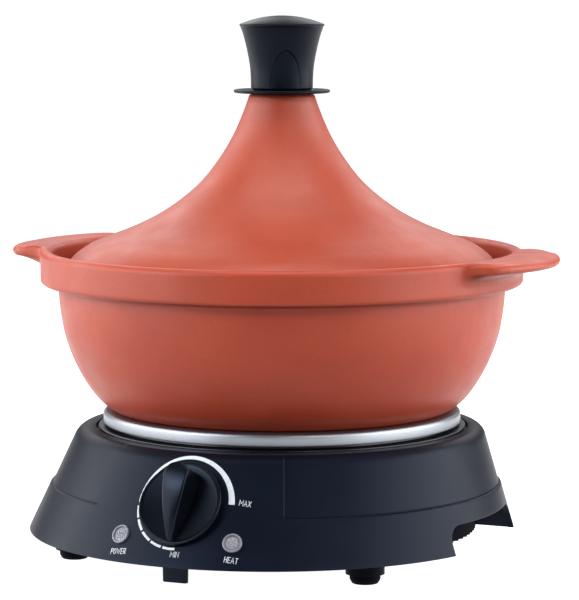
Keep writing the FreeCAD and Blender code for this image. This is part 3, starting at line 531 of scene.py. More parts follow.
def knob_radius(height):
    """The flared knob's radius at a height."""
    table = [(KNOB_LOW.z, 18.4), (279.5, 18.6), (285.5, 19.1), (294.4, 20.7), (304.0, 23.1), (309.0, 24.9)]
    curve = [table[0]] + smooth(table, 12)
    for (z0, r0), (z1, r1) in zip(curve, curve[1:]):
        if height <= z1:
            return r0 + (r1 - r0) * (height - z0) / (z1 - z0)
    return curve[-1][1]


def arch_edge(height):
    """Half the width of the knob's arched recess at a height, or below zero outside it."""
    low, peak = KNOB_LOW.z + 2.5, 295.0
    if not low <= height <= peak:
        return -1.0
    return 9.25 * (1 - ((height - low) / (peak - low)) ** 2.4) ** 0.62


KNOB_ARCH_TURN = math.radians(-90 + 31.0)
KNOB_ARCH_SPREAD = math.radians(34)


def knob_angles():
    """Columns round the knob, close together over the arched recess."""
    fine, plain = 110, 130
    start = KNOB_ARCH_TURN - KNOB_ARCH_SPREAD
    end = KNOB_ARCH_TURN + KNOB_ARCH_SPREAD
    angles = [start + 2 * KNOB_ARCH_SPREAD * k / fine for k in range(fine)]
    return angles + [end + (math.tau - 2 * KNOB_ARCH_SPREAD) * k / plain for k in range(plain)]


def knob_section():
    """The knob's outline from its foot up the flared side and over the dome."""
    low = KNOB_LOW.z
    crown = KNOB_HIGH.z
    foot = [(4.6, low), (17.2, low), (17.6, low + 0.15), (17.9, low + 0.7)]
    heights = [low + 1.0 + k * 0.3 for k in range(90)]
    heights += [heights[-1] + (308.6 - heights[-1]) * k / 20 for k in range(1, 21)]
    side = [(knob_radius(z), z) for z in heights]
    dome_radius, dome_low = 24.7, 310.15
    rim = arc_by_middle(side[-1], (25.2, 309.55), (dome_radius, dome_low), 8)
    rise = crown - dome_low
    bend = (dome_radius**2 + rise**2) / (2 * rise)
    dome = []
    for k in range(1, 25):
        across = dome_radius * (1 - k / 24)
        dome.append((across, crown - bend + math.sqrt(bend**2 - across**2)))
    return foot + side + rim + dome


def knob_reach(distance, height, angle):
    """The knob's radius at an angle, sunk to the recess's floor inside its arch."""
    edge = arch_edge(height)
    if edge <= 0 or math.cos(angle - KNOB_ARCH_TURN) <= 0:
        return distance
    across = abs(distance * math.sin(angle - KNOB_ARCH_TURN))
    floor_radius = 18.35 + 0.075 * max(height - KNOB_LOW.z - 8, 0)
    return distance - max(distance - floor_radius, 0) * ease((edge - across) / 0.55)


def make_knob():
    """The flared knob with a domed top, and an arched recess that fades out downwards."""
    rows = []
    for distance, height in knob_section():
        reaches = [(knob_reach(distance, height, angle), angle) for angle in knob_angles()]
        rows.append([(reach * math.cos(angle), AXIS_Y + reach * math.sin(angle), height)
                     for reach, angle in reaches])
    make_piece("knob_shell", net(rows), KNOB_PLASTIC, "lid", ["lid_knob"], 50)


def make_flange():
    """The thin disc under the knob, with its foot standing in a shallow seat."""
    low = FLANGE_LOW.z
    high = FLANGE_HIGH.z
    edge = FLANGE_HIGH.x
    seat = high - 0.25
    section = rounded([(3.0, low), (edge - 9.0, low), (edge, low, 0.8), (edge, high, 0.8),
                       (edge - 9.0, high, 6.0), (19.2, seat, 0.2), (18.4, seat), (3.0, seat), (3.0, low)])
    make_piece("knob_flange_disc", lathe(section, (0.0, AXIS_Y), 160), KNOB_PLASTIC, "lid",
               ["knob_flange"])


# ---- pot

EAR_BOW = 92.0
# how far an ear's flank stands out of the band, as (degrees from its middle, millimetres)
EAR_SIDE = [(14.7, 21.1), (17.3, 17.9), (18.9, 13.1), (19.8, 8.1), (21.3, 4.1), (24.0, 1.2), (27.0, 0.2),
            (30.0, 0.0)]
EAR_CURVE = [EAR_SIDE[0]] + smooth(EAR_SIDE, 8)


def ear_reach(angle):
    """How far the ears stand out of the band at an angle in degrees from +X."""
    off = abs((angle + 90) % 180 - 90)
    if off <= EAR_CURVE[0][0]:
        turn = math.radians(off)
        centre = EAR_RADIUS - EAR_BOW
        return centre * math.cos(turn) + math.sqrt(EAR_BOW**2 - (centre * math.sin(turn)) ** 2) - BAND_RADIUS
    for (a0, r0), (a1, r1) in zip(EAR_CURVE, EAR_CURVE[1:]):
        if off <= a1:
            return max(r0 + (r1 - r0) * (off - a0) / (a1 - a0), 0.0)
    return 0.0


def evenly(points, count):
    """The same path as count points evenly spaced along it."""
    lengths = [0.0]
    for a, b in zip(points, points[1:]):
        lengths.append(lengths[-1] + math.dist(a, b))
    made = []
    index = 0
    for k in range(count):
        want = lengths[-1] * k / (count - 1)
        while index < len(points) - 2 and lengths[index + 1] < want:
            index += 1
        span = lengths[index + 1] - lengths[index] or 1.0
        mix = (want - lengths[index]) / span
        made.append(tuple(a + (b - a) * mix for a, b in zip(points[index], points[index + 1])))
    return made


POT_INNER = 136.4
EAR_ROOT = 163.0


def bowl_section():
    """The bowl's outside, from the middle of its foot up to the band."""
    low = PLATE_TOP
    band = BAND_RADIUS
    return trace((0.0, low),
                 ("line", (60.0, low)),
                 ("line", (97.6, low)),
                 ("curve", (101.6, low + 1.0), (105.0, low + 3.3), (109.8, 88.2), (117.0, 97.6),
                  (124.6, 112.0), (129.6, 126.4), (132.2, 140.8), (133.3, 151.8)),
                 ("line", (133.3, 153.3)),
                 ("arc", (134.1, 155.2), (136.1, 156.0)),
                 ("line", (band - 2.6, 156.6)),
                 ("arc", (band - 0.7, 157.5), (band, 159.4)),
                 ("line", (band, 161.0)),
                 ("line", (band, EAR_ROOT)))


def plain_rim():
    """The band's outside where there is no ear."""
    band = BAND_RADIUS
    return evenly(trace((band, EAR_ROOT),
                        ("line", (band, RIM_TOP - 3.6)),
                        ("arc", (band - 1.0, RIM_TOP - 1.0), (band - 3.5, RIM_TOP))), 40)


def ear_rim():
    """The section through the middle of an ear, with as many points as the plain rim."""
    band = BAND_RADIUS
    tip = EAR_RADIUS
    return evenly(trace((band, EAR_ROOT),
                        ("curve", (144.9, 164.9), (147.0, 166.1), (150.5, 167.1), (158.0, 169.1),
                         (tip - 3.4, 170.7)),
                        ("arc", (tip, RIM_TOP - 3.5), (tip - 3.4, RIM_TOP - 0.9)),
                        ("curve", (160.0, RIM_TOP + 0.4), (150.0, RIM_TOP + 0.5), (band - 3.5, RIM_TOP))), 40)


def inside_section():
    """The pot's inside, from the rim over the ledge and down to the middle of its floor."""
    inner = POT_INNER
    return trace((BAND_RADIUS - 3.5, RIM_TOP),
                 ("arc", (inner + 1.1, RIM_TOP - 1.1), (inner, RIM_TOP - 3.6)),
                 ("line", (inner - 0.2, 166.0)),
                 ("line", (inner - 0.3, LEDGE + 2.4)),
                 ("arc", (inner - 1.0, LEDGE + 0.7), (inner - 2.8, LEDGE)),
                 ("line", (129.5, LEDGE)),
                 ("line", (125.4, LEDGE)),
                 ("arc", (124.3, LEDGE - 0.5), (123.9, LEDGE - 1.6)),
                 ("curve", (124.3, 146.0), (122.9, 130.0), (117.6, 113.0), (110.4, 100.4), (102.8, 92.0),
                  (95.2, 88.5), (88.0, 87.8)),
                 ("line", (45.0, 87.8)),
                 ("line", (0.0, 87.8)))


def pot_angles():
    """Columns round the pot, close together where the ears leave the band."""
    angles = []
    angle = 0.0
    while angle < 360.0 - 1e-6:
        angles.append(angle)
        off = abs((angle + 90) % 180 - 90)
        angle += 0.25 if 13.5 <= off <= 23.0 else 1.25
    return angles


def rim_at(reach, plain, ear):
    """The rim's section where the ear stands out by a reach: the plain one blended into the ear's."""
    band = BAND_RADIUS
    share = ease(reach / 9.0)
    points = []
    for (pr, pz), (er, ez) in zip(plain, ear):
        stretched = band + (er - band) * reach / (EAR_RADIUS - band) if er > band else er
        points.append((pr + (stretched - pr) * share, pz + (ez - pz) * share))
    return points


def make_pot():
    """The bowl with its band, inner ledge and two ears that flow out of the rim."""
    bowl, plain, ear, inside = bowl_section(), plain_rim(), ear_rim(), inside_section()
    angles = pot_angles()
    columns = [bowl[:-1] + rim_at(ear_reach(angle), plain, ear)[:-1] + inside for angle in angles]
    rows = []
    for index in range(len(columns[0])):
        spots = [(*column[index], math.radians(angle)) for column, angle in zip(columns, angles)]
        rows.append([(radius * math.cos(turn), AXIS_Y + radius * math.sin(turn), height)
                     for radius, height, turn in spots])
    make_piece("pot_shell", net(rows), POT_GLAZE, "pot", ["pot"], 50)


# ---- hot plate

def make_plate():
    """The hot plate with a rounded edge and a shallow turned dish, on its trim ring."""
    under = PLATE_LOW.z
    top = PLATE_TOP
    edge = PLATE_RADIUS
    section = rounded([(0.0, under), (edge - 0.01, under, 0.4), (edge, top, 2.6), (edge - 8.0, top, 0.6),
                       (edge - 9.0, top - 0.25, 0.4), (0.0, top - 0.25)], 6)
    make_piece("plate_disc", lathe(section, (0.0, AXIS_Y), 256), PLATE_METAL, "base",
               ["hot_plate"])
    low, high = cad_box("plate_trim_ring")
    ring = high.x
    flat = under - 1.9
    inner, outer = 100.0, 102.0
    section = rounded([(inner, low.z), (outer, low.z, 0.4), (outer, flat - 1.0, 0.5),
                       (ring, flat - 1.0, 0.25), (ring, flat, 0.45), (outer, flat, 0.3), (outer, under),
                       (inner, under), (inner, low.z)])
    make_piece("trim_ring", lathe(section, (0.0, AXIS_Y), 256), TRIM_METAL, "base",
               ["plate_trim_ring"])


# ---- base housing

def notch_offset(angle):
    """How far along the side the skirt's point at an angle lies from the notch's middle."""
    return abs(on_cone(angle, 18.0)[1] - AXIS_Y - NOTCH_MIDDLE)


def skirt_edge(angle):
    """The height of the skirt's lower edge, lifted over the two side notches."""
    aside = notch_offset(angle)
    if 60 < abs(angle) < 120 and aside < NOTCH_HALF:
        if aside <= NOTCH_HALF - NOTCH_CORNER:
            return NOTCH_TOP
        off = aside - (NOTCH_HALF - NOTCH_CORNER)
        return NOTCH_TOP - NOTCH_CORNER + math.sqrt(max(NOTCH_CORNER**2 - off**2, 0))
    return SKIRT


def notch_side(sign):
    """The angle at which a notch's upright side crosses the skirt."""
    low, high = (60.0, 90.0) if sign < 0 else (120.0, 90.0)
    for _ in range(40):
        middle = (low + high) / 2
        if notch_offset(middle) < NOTCH_HALF:
            high = middle
        else:
            low = middle
    return (low + high) / 2


def housing_angles():
    """Columns round the housing, close together at the panel's creases and the notches' corners."""
    sides = [notch_side(-1), notch_side(1)]
    marks = []
    for sign in (-1, 1):
        marks += [sign * (PANEL_HALF_ANGLE - 0.16), sign * (PANEL_HALF_ANGLE + 0.16)]
        marks += [sign * (side + shift) for side in sides for shift in (-0.02, 0.02)]
    fine = []
    for sign in (-1, 1):
        for side, way in ((sides[0], 1), (sides[1], -1)):
            fine += [sign * (side + way * 0.25 * k) for k in range(1, 17)]
    plain = [k * 1.0 for k in range(-180, 180)]
    kept = [a for a in plain if min(abs(a - m) for m in marks + fine) > 0.3]
    return sorted(kept + marks + fine)


def housing_column(angle):
    """One section of the housing at an angle, from the outer lower edge up, in and back down."""
    low = skirt_edge(angle)
    step = 0.0 if abs(angle) < PANEL_HALF_ANGLE else 1.0
    hem = ((0.0, 0.7), (0.06, 0.3), (0.3, 0.06), (0.7, 0.0))
    points = [on_cone(angle, low + lift, inset) for lift, inset in hem]
    for k in range(1, 9):
        points.append(on_cone(angle, low + 0.7 + (SEAM - 0.7 - low - 0.7) * k / 8))
    for height, inset in ((-0.45, 0.02), (-0.2, 0.12), (-0.05, 0.35), (0.0, 0.6), (0.05, 1.25), (0.5, 1.15),
                          (0.7, 1.0)):
        points.append(on_cone(angle, SEAM + height, inset * step * SEAM_STEP))
    first = SEAM + 0.7
    last = BASE_TOP - SHOULDER
    for k in range(1, 13):
        points.append(on_cone(angle, first + (last - first) * k / 12, step * SEAM_STEP))
    for k in range(1, 9):
        tilt = math.radians(90 * k / 8)
        points.append(on_cone(angle, BASE_TOP - SHOULDER * (1 - math.sin(tilt)),
                              step * SEAM_STEP + 0.85 * SHOULDER * (1 - math.cos(tilt))))
    for radius, height in ((RECESS_RADIUS + 0.35, BASE_TOP), (RECESS_RADIUS + 0.1, BASE_TOP - 0.1),
                           (RECESS_RADIUS, BASE_TOP - 0.35), (RECESS_RADIUS, LEDGE_TOP + 0.3),
                           (RECESS_RADIUS - 0.3, LEDGE_TOP), (LEDGE_RADIUS + 0.4, LEDGE_TOP),
                           (LEDGE_RADIUS, LEDGE_TOP - 0.4), (LEDGE_RADIUS, LEDGE_UNDER + 0.4),
                           (LEDGE_RADIUS + 0.4, LEDGE_UNDER)):
        points.append(round_axis(angle, radius, height))
    for k in range(0, 11):
        points.append(on_cone(angle, LEDGE_UNDER + (low + 0.4 - LEDGE_UNDER) * k / 10, WALL))
    points.append(on_cone(angle, low, WALL - 0.4))
    return points


def tapered_block(centre, size, taper, fillet=1.0, steps=3):
    """An upright block with rounded upright edges, narrower at its foot, as points and faces."""
    rings = []
    levels = [(0.0, -fillet * 0.6), (0.15, -fillet * 0.2), (0.6, 0.0), (size[2], 0.0)]
    for level, shrink in levels:
        share = 1 - taper * (1 - level / size[2])
        half_x = size[0] / 2 * share + shrink
        half_y = size[1] / 2 + shrink
        ring = []
        for sx, sy, start in ((1, -1, -90), (1, 1, 0), (-1, 1, 90), (-1, -1, 180)):
            for k in range(steps + 1):
                turn = math.radians(start + 90 * k / steps)
                ring.append((centre[0] + sx * (half_x - fillet) + fillet * math.cos(turn),
                             centre[1] + sy * (half_y - fillet) + fillet * math.sin(turn), centre[2] + level))
        rings.append(ring)
    middle = [(centre[0], centre[1], centre[2])] * len(rings[0])
    top = [(centre[0], centre[1], centre[2] + size[2])] * len(rings[0])
    return net([middle] + rings + [top])


def bulkhead(side, along, reach):
    """The upright wall at one end of a notch, from near the drum out into the skirt, narrower at its top."""
    rings = []
    for height, thick in ((SKIRT + 0.1, 1.0), (SKIRT + 0.5, BULKHEAD_HALF), (BULKHEAD_TOP, BULKHEAD_HALF)):
        edge = math.sqrt((cone_radius(height) - WALL + 1.0) ** 2 - (along - cone_middle(height)) ** 2)
        corners = ((reach, -thick), (edge, -thick), (edge, thick), (reach, thick))
        rings.append([(side * x, AXIS_Y + along + y, height) for x, y in corners])
    foot = [(side * (reach + 5.0), AXIS_Y + along, SKIRT + 0.1)] * 4
    head = [(side * (reach + 5.0), AXIS_Y + along, BULKHEAD_TOP)] * 4
    return net([foot] + rings + [head])


def make_housing():
    """The housing shell, with its front tab, inner screw bosses and their webs, and the walls at the notches'
    ends.
    """
    angles = housing_angles()
    columns = [housing_column(angle) for angle in angles]
    rows = [[column[index] for column in columns] for index in range(len(columns[0]))]
    shell = net(rows, closed_rows=True)
    tab = tapered_block((0.0, AXIS_Y - 148.0, 1.4), (16.0, 3.0, 26.5), 0.06)
    extras = [tab]
    for side_x in (1, -1):
        for side_y in (1, -1):
            middle = (94.0 * side_x, AXIS_Y - 8.0 + 34.0 * side_y)
            boss = rounded([(2.0, 25.0), (2.0, 11.0), (5.0, 11.0, 0.4), (5.0, 60.0, 0.5), (0.0, 60.0)])
            extras.append(lathe(boss, middle, 32))
            web = (middle[0] + side_x * 15.0, middle[1], 38.0)
            extras.append(tapered_block(web, (21.5, 3.0, 18.0), 0.0, 0.4, 2))
        for along, reach in BULKHEADS:
            extras.append(bulkhead(side_x, along, reach))
    make_piece("housing_shell", join(shell, *extras), BASE_PLASTIC, "base",
               ["base_housing"], 38)


def make_inlet():
    """The boss at the back, with a soft bush whose bore takes the mains cord."""
    low, high = cad_box("cord_gland")
    middle_z = (low.z + high.z) / 2
    face = high.y - 2.2
    spin = Matrix.Translation(Vector((0, face, middle_z)) * MM) @ Matrix.Rotation(-math.pi / 2, 4, "X")
    boss = rounded([(6.0, -12.0), (10.0, -12.0), (10.0, 0.0, 1.2), (6.0, 0.0, 0.3), (6.0, -12.0)])
    make_piece("inlet_boss", lathe(boss, segments=96), BASE_PLASTIC, "base", sharp=50,
               place=spin)
    bush = rounded([(3.6, -14.7), (7.0, -14.7, 0.6), (7.0, -12.2, 0.5), (5.95, -12.2), (5.95, 0.0),
                    (8.5, 0.0, 0.2), (8.5, 2.2, 1.0), (5.2, 2.2, 0.6), (4.4, 1.2, 0.6), (3.6, 1.2, 0.2),
                    (3.6, -14.7)])
    make_piece("inlet_bush", lathe(bush, segments=96), FOOT_RUBBER, "base",
               ["cord_gland"], 50, spin)


# ---- feet

def make_feet():
    """Rubber pads with a soft lower edge and a shallow suction dish."""
    for place in ("front_left", "front_right", "rear_left", "rear_right"):
        node = "foot_pad_" + place
        low, high = cad_box(node)
        middle = ((low.x + high.x) / 2, (low.y + high.y) / 2)
        section = rounded([(0.0, -0.8), (4.6, -0.8, 0.8), (5.4, -LIFT, 0.5), (7.3, -LIFT, 1.2),
                           (8.75, 1.0, 2.0), (8.75, 4.0, 0.3), (3.0, 4.0), (3.0, 9.0), (0.0, 9.0)])
        make_piece("foot_rubber_" + place, lathe(section, middle, 72), FOOT_RUBBER, "base",
                   [node])


# ---- lamps

LENS_RADIUS = 3.7
LENS_LOW = -7.0


def lens_face(x, y):
    """The height of the lens's domed face with its small prisms, which fade out at the edge."""
    radius = math.hypot(x, y)
    prism = abs(math.sin(x * 2.0 + y * 1.15)) * abs(math.sin(x * 2.0 - y * 1.15))
    prism *= abs(math.sin(y * 2.3))
    dome = 0.35 + 0.3 * (1 - (radius / LENS_RADIUS) ** 2)
    return dome + 0.8 * prism * ease((3.45 - radius) / 0.5)


def lens():
    """A lens as points and faces: a flat back, an upright side and the prismed face."""
    turns = [(math.cos(math.tau * k / 96), math.sin(math.tau * k / 96)) for k in range(96)]
    rings = [[(0.0, 0.0, LENS_LOW)] * 96, [(LENS_RADIUS * x, LENS_RADIUS * y, LENS_LOW) for x, y in turns]]
    for step in range(31):
        radius = LENS_RADIUS * (1 - step / 30)
        rings.append([(radius * x, radius * y, lens_face(radius * x, radius * y)) for x, y in turns])
    return net(rings)


def make_lamps():
    """Each lamp's bezel ring and its lens."""
    ring = rounded([(3.77, -9.0), (4.7, -9.0), (4.7, -0.3), (5.6, -0.3, 0.1), (5.6, 1.3, 0.6),
                    (4.6, 1.3, 0.3), (4.2, 0.1, 0.2), (3.77, 0.1), (3.77, -9.0)], 5)
    for side, place in LAMP_PLACES.items():
        bezel, glass = "lamp_bezel_" + side, "lamp_lens_" + side
        make_piece("bezel_" + side, lathe(ring, segments=96), BEZEL_PLASTIC, "base",
                   [bezel], 50, place)
        make_piece("lens_" + side, lens(), LENS_CLEAR, "base", [glass], 60, place)


# ---- dial

# the grip's two round ends: where they stand, and their radii above the fillet and at the top's edge
GRIP_HIGH, GRIP_LOW = 12.4, -21.6
GRIP_FOOT = (7.95, 2.25)
GRIP_HEAD = (7.35, 1.7)
GRIP_FULL = 7.2
GRIP_BULGE = 0.7
GRIP_EDGE = 1.1


def bowed(start, end, bulge, count=14):
    """Points between two ends of a side, pushed sideways most in the middle."""
    made = []
    for k in range(1, count):
        share = k / count
        made.append((start[0] + (end[0] - start[0]) * share + 4 * bulge * share * (1 - share),
                     start[1] + (end[1] - start[1]) * share))
    return made


def grip_ring(wide, point, height_of, count=40):
    """One ring round the drop-shaped grip, its two ends round and its sides bowed."""
    side_y = -(wide - point) / (GRIP_HIGH - GRIP_LOW)
    tilt = math.asin(side_y)
    spots = []
    for k in range(count + 1):
        turn = tilt + (math.pi - 2 * tilt) * k / count
        spots.append((wide * math.cos(turn), GRIP_HIGH + wide * math.sin(turn)))
    swell = min(wide / GRIP_FULL, 1.0)
    ends = ((-point * math.cos(tilt), GRIP_LOW + point * math.sin(tilt)),
            (point * math.cos(tilt), GRIP_LOW + point * math.sin(tilt)))
    start = spots[-1]
    spots += bowed(start, ends[0], -GRIP_BULGE * swell)
    for k in range(16 + 1):
        turn = math.pi - tilt + (math.pi + 2 * tilt) * k / 16
        spots.append((point * math.cos(turn), GRIP_LOW + point * math.sin(turn)))
    spots += bowed(ends[1], spots[0], GRIP_BULGE * swell)
    return [(x, y, height_of(y)) for x, y in spots]


def crest(y):
    """The height of the grip's bowed top along the slope."""
    (x0, z0), (x1, z1), (x2, z2) = (-30.0, 0.5), (-4.0, 14.2), (30.0, 15.4)
    part = z0 * (y - x1) * (y - x2) / ((x0 - x1) * (x0 - x2))
    part += z1 * (y - x0) * (y - x2) / ((x1 - x0) * (x1 - x2))
    return part + z2 * (y - x0) * (y - x1) / ((x2 - x0) * (x2 - x1))


def grip_rings():
    """The grip's rings from its fillet up the drafted sides, over the soft edge and across the top."""
    foot_wide, foot_point = GRIP_FOOT
    head_wide, head_point = GRIP_HEAD
    rings = [grip_ring(foot_wide + flare, foot_point + flare, lambda y, z=height: z)
             for flare, height in ((0.55, 1.4), (0.2, 2.4), (0.0, 3.2))]
    for k in range(1, 9):
        share = k / 9
        rings.append(grip_ring(foot_wide + (head_wide - foot_wide) * share,
                               foot_point + (head_point - foot_point) * share,
                               lambda y, s=share: 3.2 + (crest(y) - GRIP_EDGE - 3.2) * s))
    for k in range(0, 7):
        turn = math.radians(90 * k / 6)
        tuck = GRIP_EDGE * (1 - math.cos(turn))
        rings.append(grip_ring(head_wide - tuck, head_point - tuck,
                               lambda y, t=turn: crest(y) - GRIP_EDGE * (1 - math.sin(t))))
    for k in range(1, 9):
        share = 1 - k / 8
        rings.append(grip_ring((head_wide - GRIP_EDGE) * share, (head_point - GRIP_EDGE) * share,
                               lambda y, s=share: crest(y) + 0.2 * (1 - s * s)))
    return rings


def make_dial():
    """The dished disc and its drop-shaped grip with soft edges."""
    dish = [(23.0 * (1 - k / 20), 3.15 - 1.05 * (1 - (1 - k / 20) ** 2)) for k in range(0, 21)]
    section = rounded([(0.0, 0.9), (22.6, 0.9, 0.3), (22.6, 0.4), (24.75, 0.4, 0.4), (24.75, 3.4, 0.8),
                       (23.5, 3.4, 0.4)] + dish, 5)
    disc = lathe(section, segments=192)
    make_piece("dial_knob", join(disc, net(grip_rings())), DIAL_PLASTIC, "dial",
               ["dial"], 50, DIAL_PLACE)


# ---- printing on the panel

def printed_arc(start, end, inner, outer):
    """A printed band about the dial between two clock angles, its two radii given over 0 to 1."""
    count = max(int(abs(end - start) / 2), 2)
    low_in, low_out, high_in, high_out = [], [], [], []
    for k in range(count + 1):
        share = k / count
        turn = math.radians(start + (end - start) * share)
        for radius, bottom, top in ((inner(share), low_in, high_in), (outer(share), low_out, high_out)):
            x, y = radius * math.sin(turn), 0.8 + radius * math.cos(turn)
            bottom.append(on_panel(x, y, -0.05))
            top.append(on_panel(x, y, 0.12))
    rows = [low_in, high_in, high_out, low_out]
    verts = [spot for row in rows for spot in row]
    size = count + 1
    faces = [(a * size + k, a * size + k + 1, ((a + 1) % 4) * size + k + 1, ((a + 1) % 4) * size + k)
             for a in range(4) for k in range(count)]
    faces += [(0, size, 2 * size, 3 * size), (count, 3 * size + count, 2 * size + count, size + count)]
    return verts, faces


def make_scale():
    """Five dashes from the lowest mark, then a band that widens round to the highest."""
    inner, outer = 26.4, 27.8
    first, dash, pitch = 175.5, 15.9, 18.6
    parts = []
    for start in (first + pitch * k for k in range(5)):
        parts.append(printed_arc(start, start + dash, lambda s: inner, lambda s: outer))
    parts.append(printed_arc(270.0, 444.5, lambda s: inner + math.sqrt(s), lambda s: outer + 3.0 * s**1.2))
    make_piece("dial_scale", join(*parts), PRINT_INK, "base")


# plain letters as lines, one unit high
BOWL = [(0, 0), (0, 1), (0.3, 1), (0.44, 0.86), (0.44, 0.6), (0.3, 0.46), (0, 0.46)]
LETTERS = {
    "M": [[(0, 0), (0, 1), (0.36, 0.35), (0.72, 1), (0.72, 0)]],
    "I": [[(0, 0), (0, 1)]],
    "N": [[(0, 0), (0, 1), (0.54, 0), (0.54, 1)]],
    "A": [[(0, 0), (0.27, 1), (0.54, 0)], [(0.09, 0.32), (0.45, 0.32)]],
    "X": [[(0, 0), (0.5, 1)], [(0, 1), (0.5, 0)]],
    "P": [BOWL],
    "R": [BOWL, [(0.2, 0.46), (0.46, 0)]],
    "O": [[(0.24, 0), (0.1, 0.04), (0, 0.2), (0, 0.8), (0.1, 0.96), (0.36, 0.96), (0.46, 0.8), (0.46, 0.2),
           (0.36, 0.04), (0.22, 0)]],
    "W": [[(0, 1), (0.2, 0), (0.4, 0.8), (0.6, 0), (0.8, 1)]],
    "E": [[(0.4, 0), (0, 0), (0, 1), (0.4, 1)], [(0, 0.5), (0.36, 0.5)]],
    "H": [[(0, 0), (0, 1)], [(0.48, 0), (0.48, 1)], [(0, 0.5), (0.48, 0.5)]],
    "T": [[(0, 1), (0.5, 1)], [(0.25, 0), (0.25, 1)]],
}


# each word and its middle in the dial's flat frame
WORDS = (("MIN", 3.0, -29.4), ("MAX", 36.3, 5.5), ("POWER", -33.4, -29.0), ("HEAT", 35.9, -28.7))


def stroke(points, half, lift):
    """A flat band along a line of panel points, mitred at its corners."""
    spots = [Vector(spot) for spot in points]
    ways = [(b - a).normalized() for a, b in zip(spots, spots[1:])]
    verts = []
    for k, spot in enumerate(spots):
        before = ways[max(k - 1, 0)]
        after = ways[min(k, len(ways) - 1)]
        side = (before + after).normalized().orthogonal()
        reach = min(half / max(side.dot(after.orthogonal()), 0.3), 2.0 * half)
        end = -half if k == 0 else half if k == len(spots) - 1 else 0.0
        centre = spot + after * end
        for sign in (1, -1):
            verts.append(on_panel(*(centre + side * reach * sign), lift))
    return verts, [(2 * k, 2 * k + 1, 2 * k + 3, 2 * k + 2) for k in range(len(spots) - 1)]


def make_words():
    """The plain words beside the scale and under the lamps, printed onto the panel."""
    height, narrow, gap = 3.2, 0.88, 0.24
    for word, x, y in WORDS:
        widths = [max(px for line in LETTERS[letter] for px, _ in line) for letter in word]
        start = -(sum(widths) + gap * (len(word) - 1)) / 2
        bands = []
        for letter, width in zip(word, widths):
            for line in LETTERS[letter]:
                spots = [(x + (start + px) * height * narrow, y + (py - 0.5) * height) for px, py in line]
                bands.append(stroke(spots, 0.15, 0.15 + 0.002 * len(bands)))
            start += width + gap
        make_piece("word_" + word, join(*bands), PRINT_INK, "base")


# ---- carried-over nodes

KEPT = {
    "knob_gasket": SEAL_RUBBER, "knob_insert": INSERT_BRASS, "knob_screw": FASTENER_STEEL,
    "knob_washer": FASTENER_STEEL, "bottom_cover": COVER_PLASTIC, "dial_shaft": FASTENER_STEEL,
    "heating_element": ELEMENT_STEEL, "heat_shield": SHIELD_STEEL, "plate_stud": FASTENER_STEEL,
    "plate_nut": FASTENER_STEEL, "thermal_fuse": FUSE_CERAMIC, "terminal_block": BLOCK_PLASTIC,
    "thermostat_body": CASE_PLASTIC, "thermostat_bush": INSERT_BRASS, "thermostat_nut": FASTENER_STEEL,
    "neon_lamp_left": NEON_GLASS, "neon_lamp_right": NEON_GLASS, "lead_left": LEAD_SLEEVE,
    "lead_right": LEAD_SLEEVE, **{f"cover_screw_{k}": FASTENER_STEEL for k in range(1, 5)},
}


def dress_kept_nodes():
    """Give every CAD node that stays in view its own material."""
    for name, material in KEPT.items():
        slots = frame["nodes"][name].data.materials
        slots.clear()
        slots.append(material)


# ---- floor, light and camera

def make_floor():
    """A plain pale floor that runs out of view."""
    mesh = bpy.data.meshes.new("floor")
    reach = 30.0
    mesh.from_pydata([(-reach, -reach, 0), (reach, -reach, 0), (reach, reach, 0), (-reach, reach, 0)], [],
                     [(0, 1, 2, 3)])
    mesh.materials.append(paper("floor_paper"))
    floor = bpy.data.objects.new("floor", mesh)
    bpy.context.scene.collection.objects.link(floor)
    floor.visible_diffuse = False


CAMERA_ANGLE = math.radians(23.7)
EYE_DISTANCE = 1.80
EYE_HEIGHT = 0.3425


def aim(thing, target):
    """Turn a lamp or camera to look at a point."""
    thing.rotation_mode = "QUATERNION"
    thing.rotation_quaternion = (Vector(target) - thing.location).to_track_quat("-Z", "Y")


LIGHT_TARGET = (0.0, 0.0, 0.14)


def soft_box(name, angle, distance, height, size, power, colour=(1.0, 1.0, 1.0)):
    """A rectangular soft light at an angle from the camera's side, in degrees to the right."""
    lamp = bpy.data.lights.new(name, "AREA")
    lamp.shape = "RECTANGLE"
    lamp.size, lamp.size_y = size
    lamp.energy = power
    lamp.color = colour
    thing = bpy.data.objects.new(name, lamp)
    thing.visible_camera = False
    turn = CAMERA_ANGLE + math.radians(angle)
    thing.location = (distance * math.sin(turn), -distance * math.cos(turn), height)
    bpy.context.scene.collection.objects.link(thing)
    aim(thing, LIGHT_TARGET)


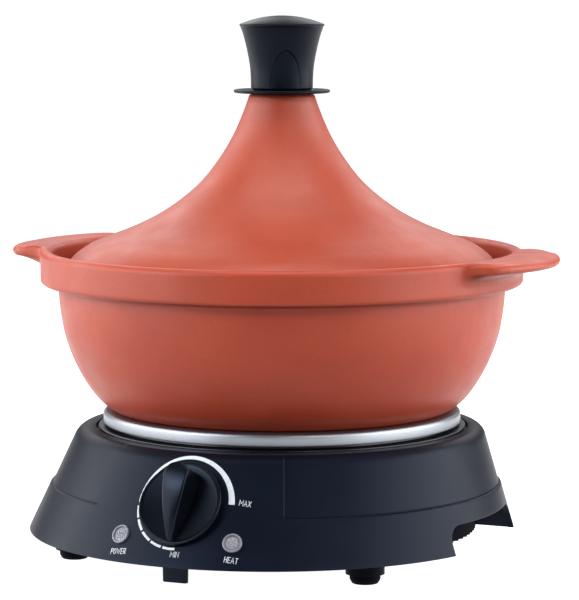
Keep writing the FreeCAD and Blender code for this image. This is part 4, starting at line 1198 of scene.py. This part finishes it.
def make_lights():
    """Soft boxes at the sides, overhead, behind and ahead, a small one for the grip, and a dim, even room."""
    soft_box("box_left", -86, 1.5, 0.50, (2.6, 1.4), 50)
    soft_box("box_right", 82, 1.5, 0.50, (2.2, 1.4), 46)
    soft_box("box_top", 0, 0.15, 1.6, (1.5, 0.9), 16)
    soft_box("box_back_left", -156, 1.5, 0.95, (1.2, 0.7), 7)
    soft_box("box_back_right", 156, 1.5, 0.95, (1.2, 0.7), 6)
    soft_box("box_crest", -47, 1.0, 0.62, (0.35, 0.16), 2.5, colour=(0.70, 0.82, 1.0))
    soft_box("box_front", 22, 2.4, 1.4, (0.9, 0.8), 12)
    world = bpy.data.worlds.new("room")
    world.use_nodes = True
    nodes = world.node_tree.nodes
    links = world.node_tree.links
    path = nodes.new("ShaderNodeLightPath")
    tint = mixed(nodes, links, path.outputs["Is Camera Ray"], (0.10, 0.105, 0.12), (1.0, 1.0, 1.0))
    links.new(tint, nodes["Background"].inputs["Color"])
    bpy.context.scene.world = world


def make_camera():
    """A long lens at eye level with the knob, looking slightly down."""
    camera = bpy.data.cameras.new("camera")
    camera.sensor_width = 36.0
    camera.lens = 181.6
    camera.clip_end = 100.0
    thing = bpy.data.objects.new("camera", camera)
    centre_y = AXIS_Y * MM
    thing.location = (EYE_DISTANCE * math.sin(CAMERA_ANGLE), centre_y - EYE_DISTANCE * math.cos(CAMERA_ANGLE),
                      EYE_HEIGHT)
    aside = 0.0045
    target = (aside * math.cos(CAMERA_ANGLE), centre_y + aside * math.sin(CAMERA_ANGLE),
              EYE_HEIGHT - EYE_DISTANCE * math.tan(math.radians(6.2)))
    bpy.context.scene.collection.objects.link(thing)
    aim(thing, target)
    bpy.context.scene.camera = thing


make_lid()
make_knob()
make_flange()
make_pot()
make_plate()
make_housing()
make_inlet()
make_feet()
make_lamps()
make_dial()
make_scale()
make_words()
dress_kept_nodes()
make_floor()
make_lights()
make_camera()
bpy.context.scene.view_settings.view_transform = "Standard"

bpy.context.view_layer.update()
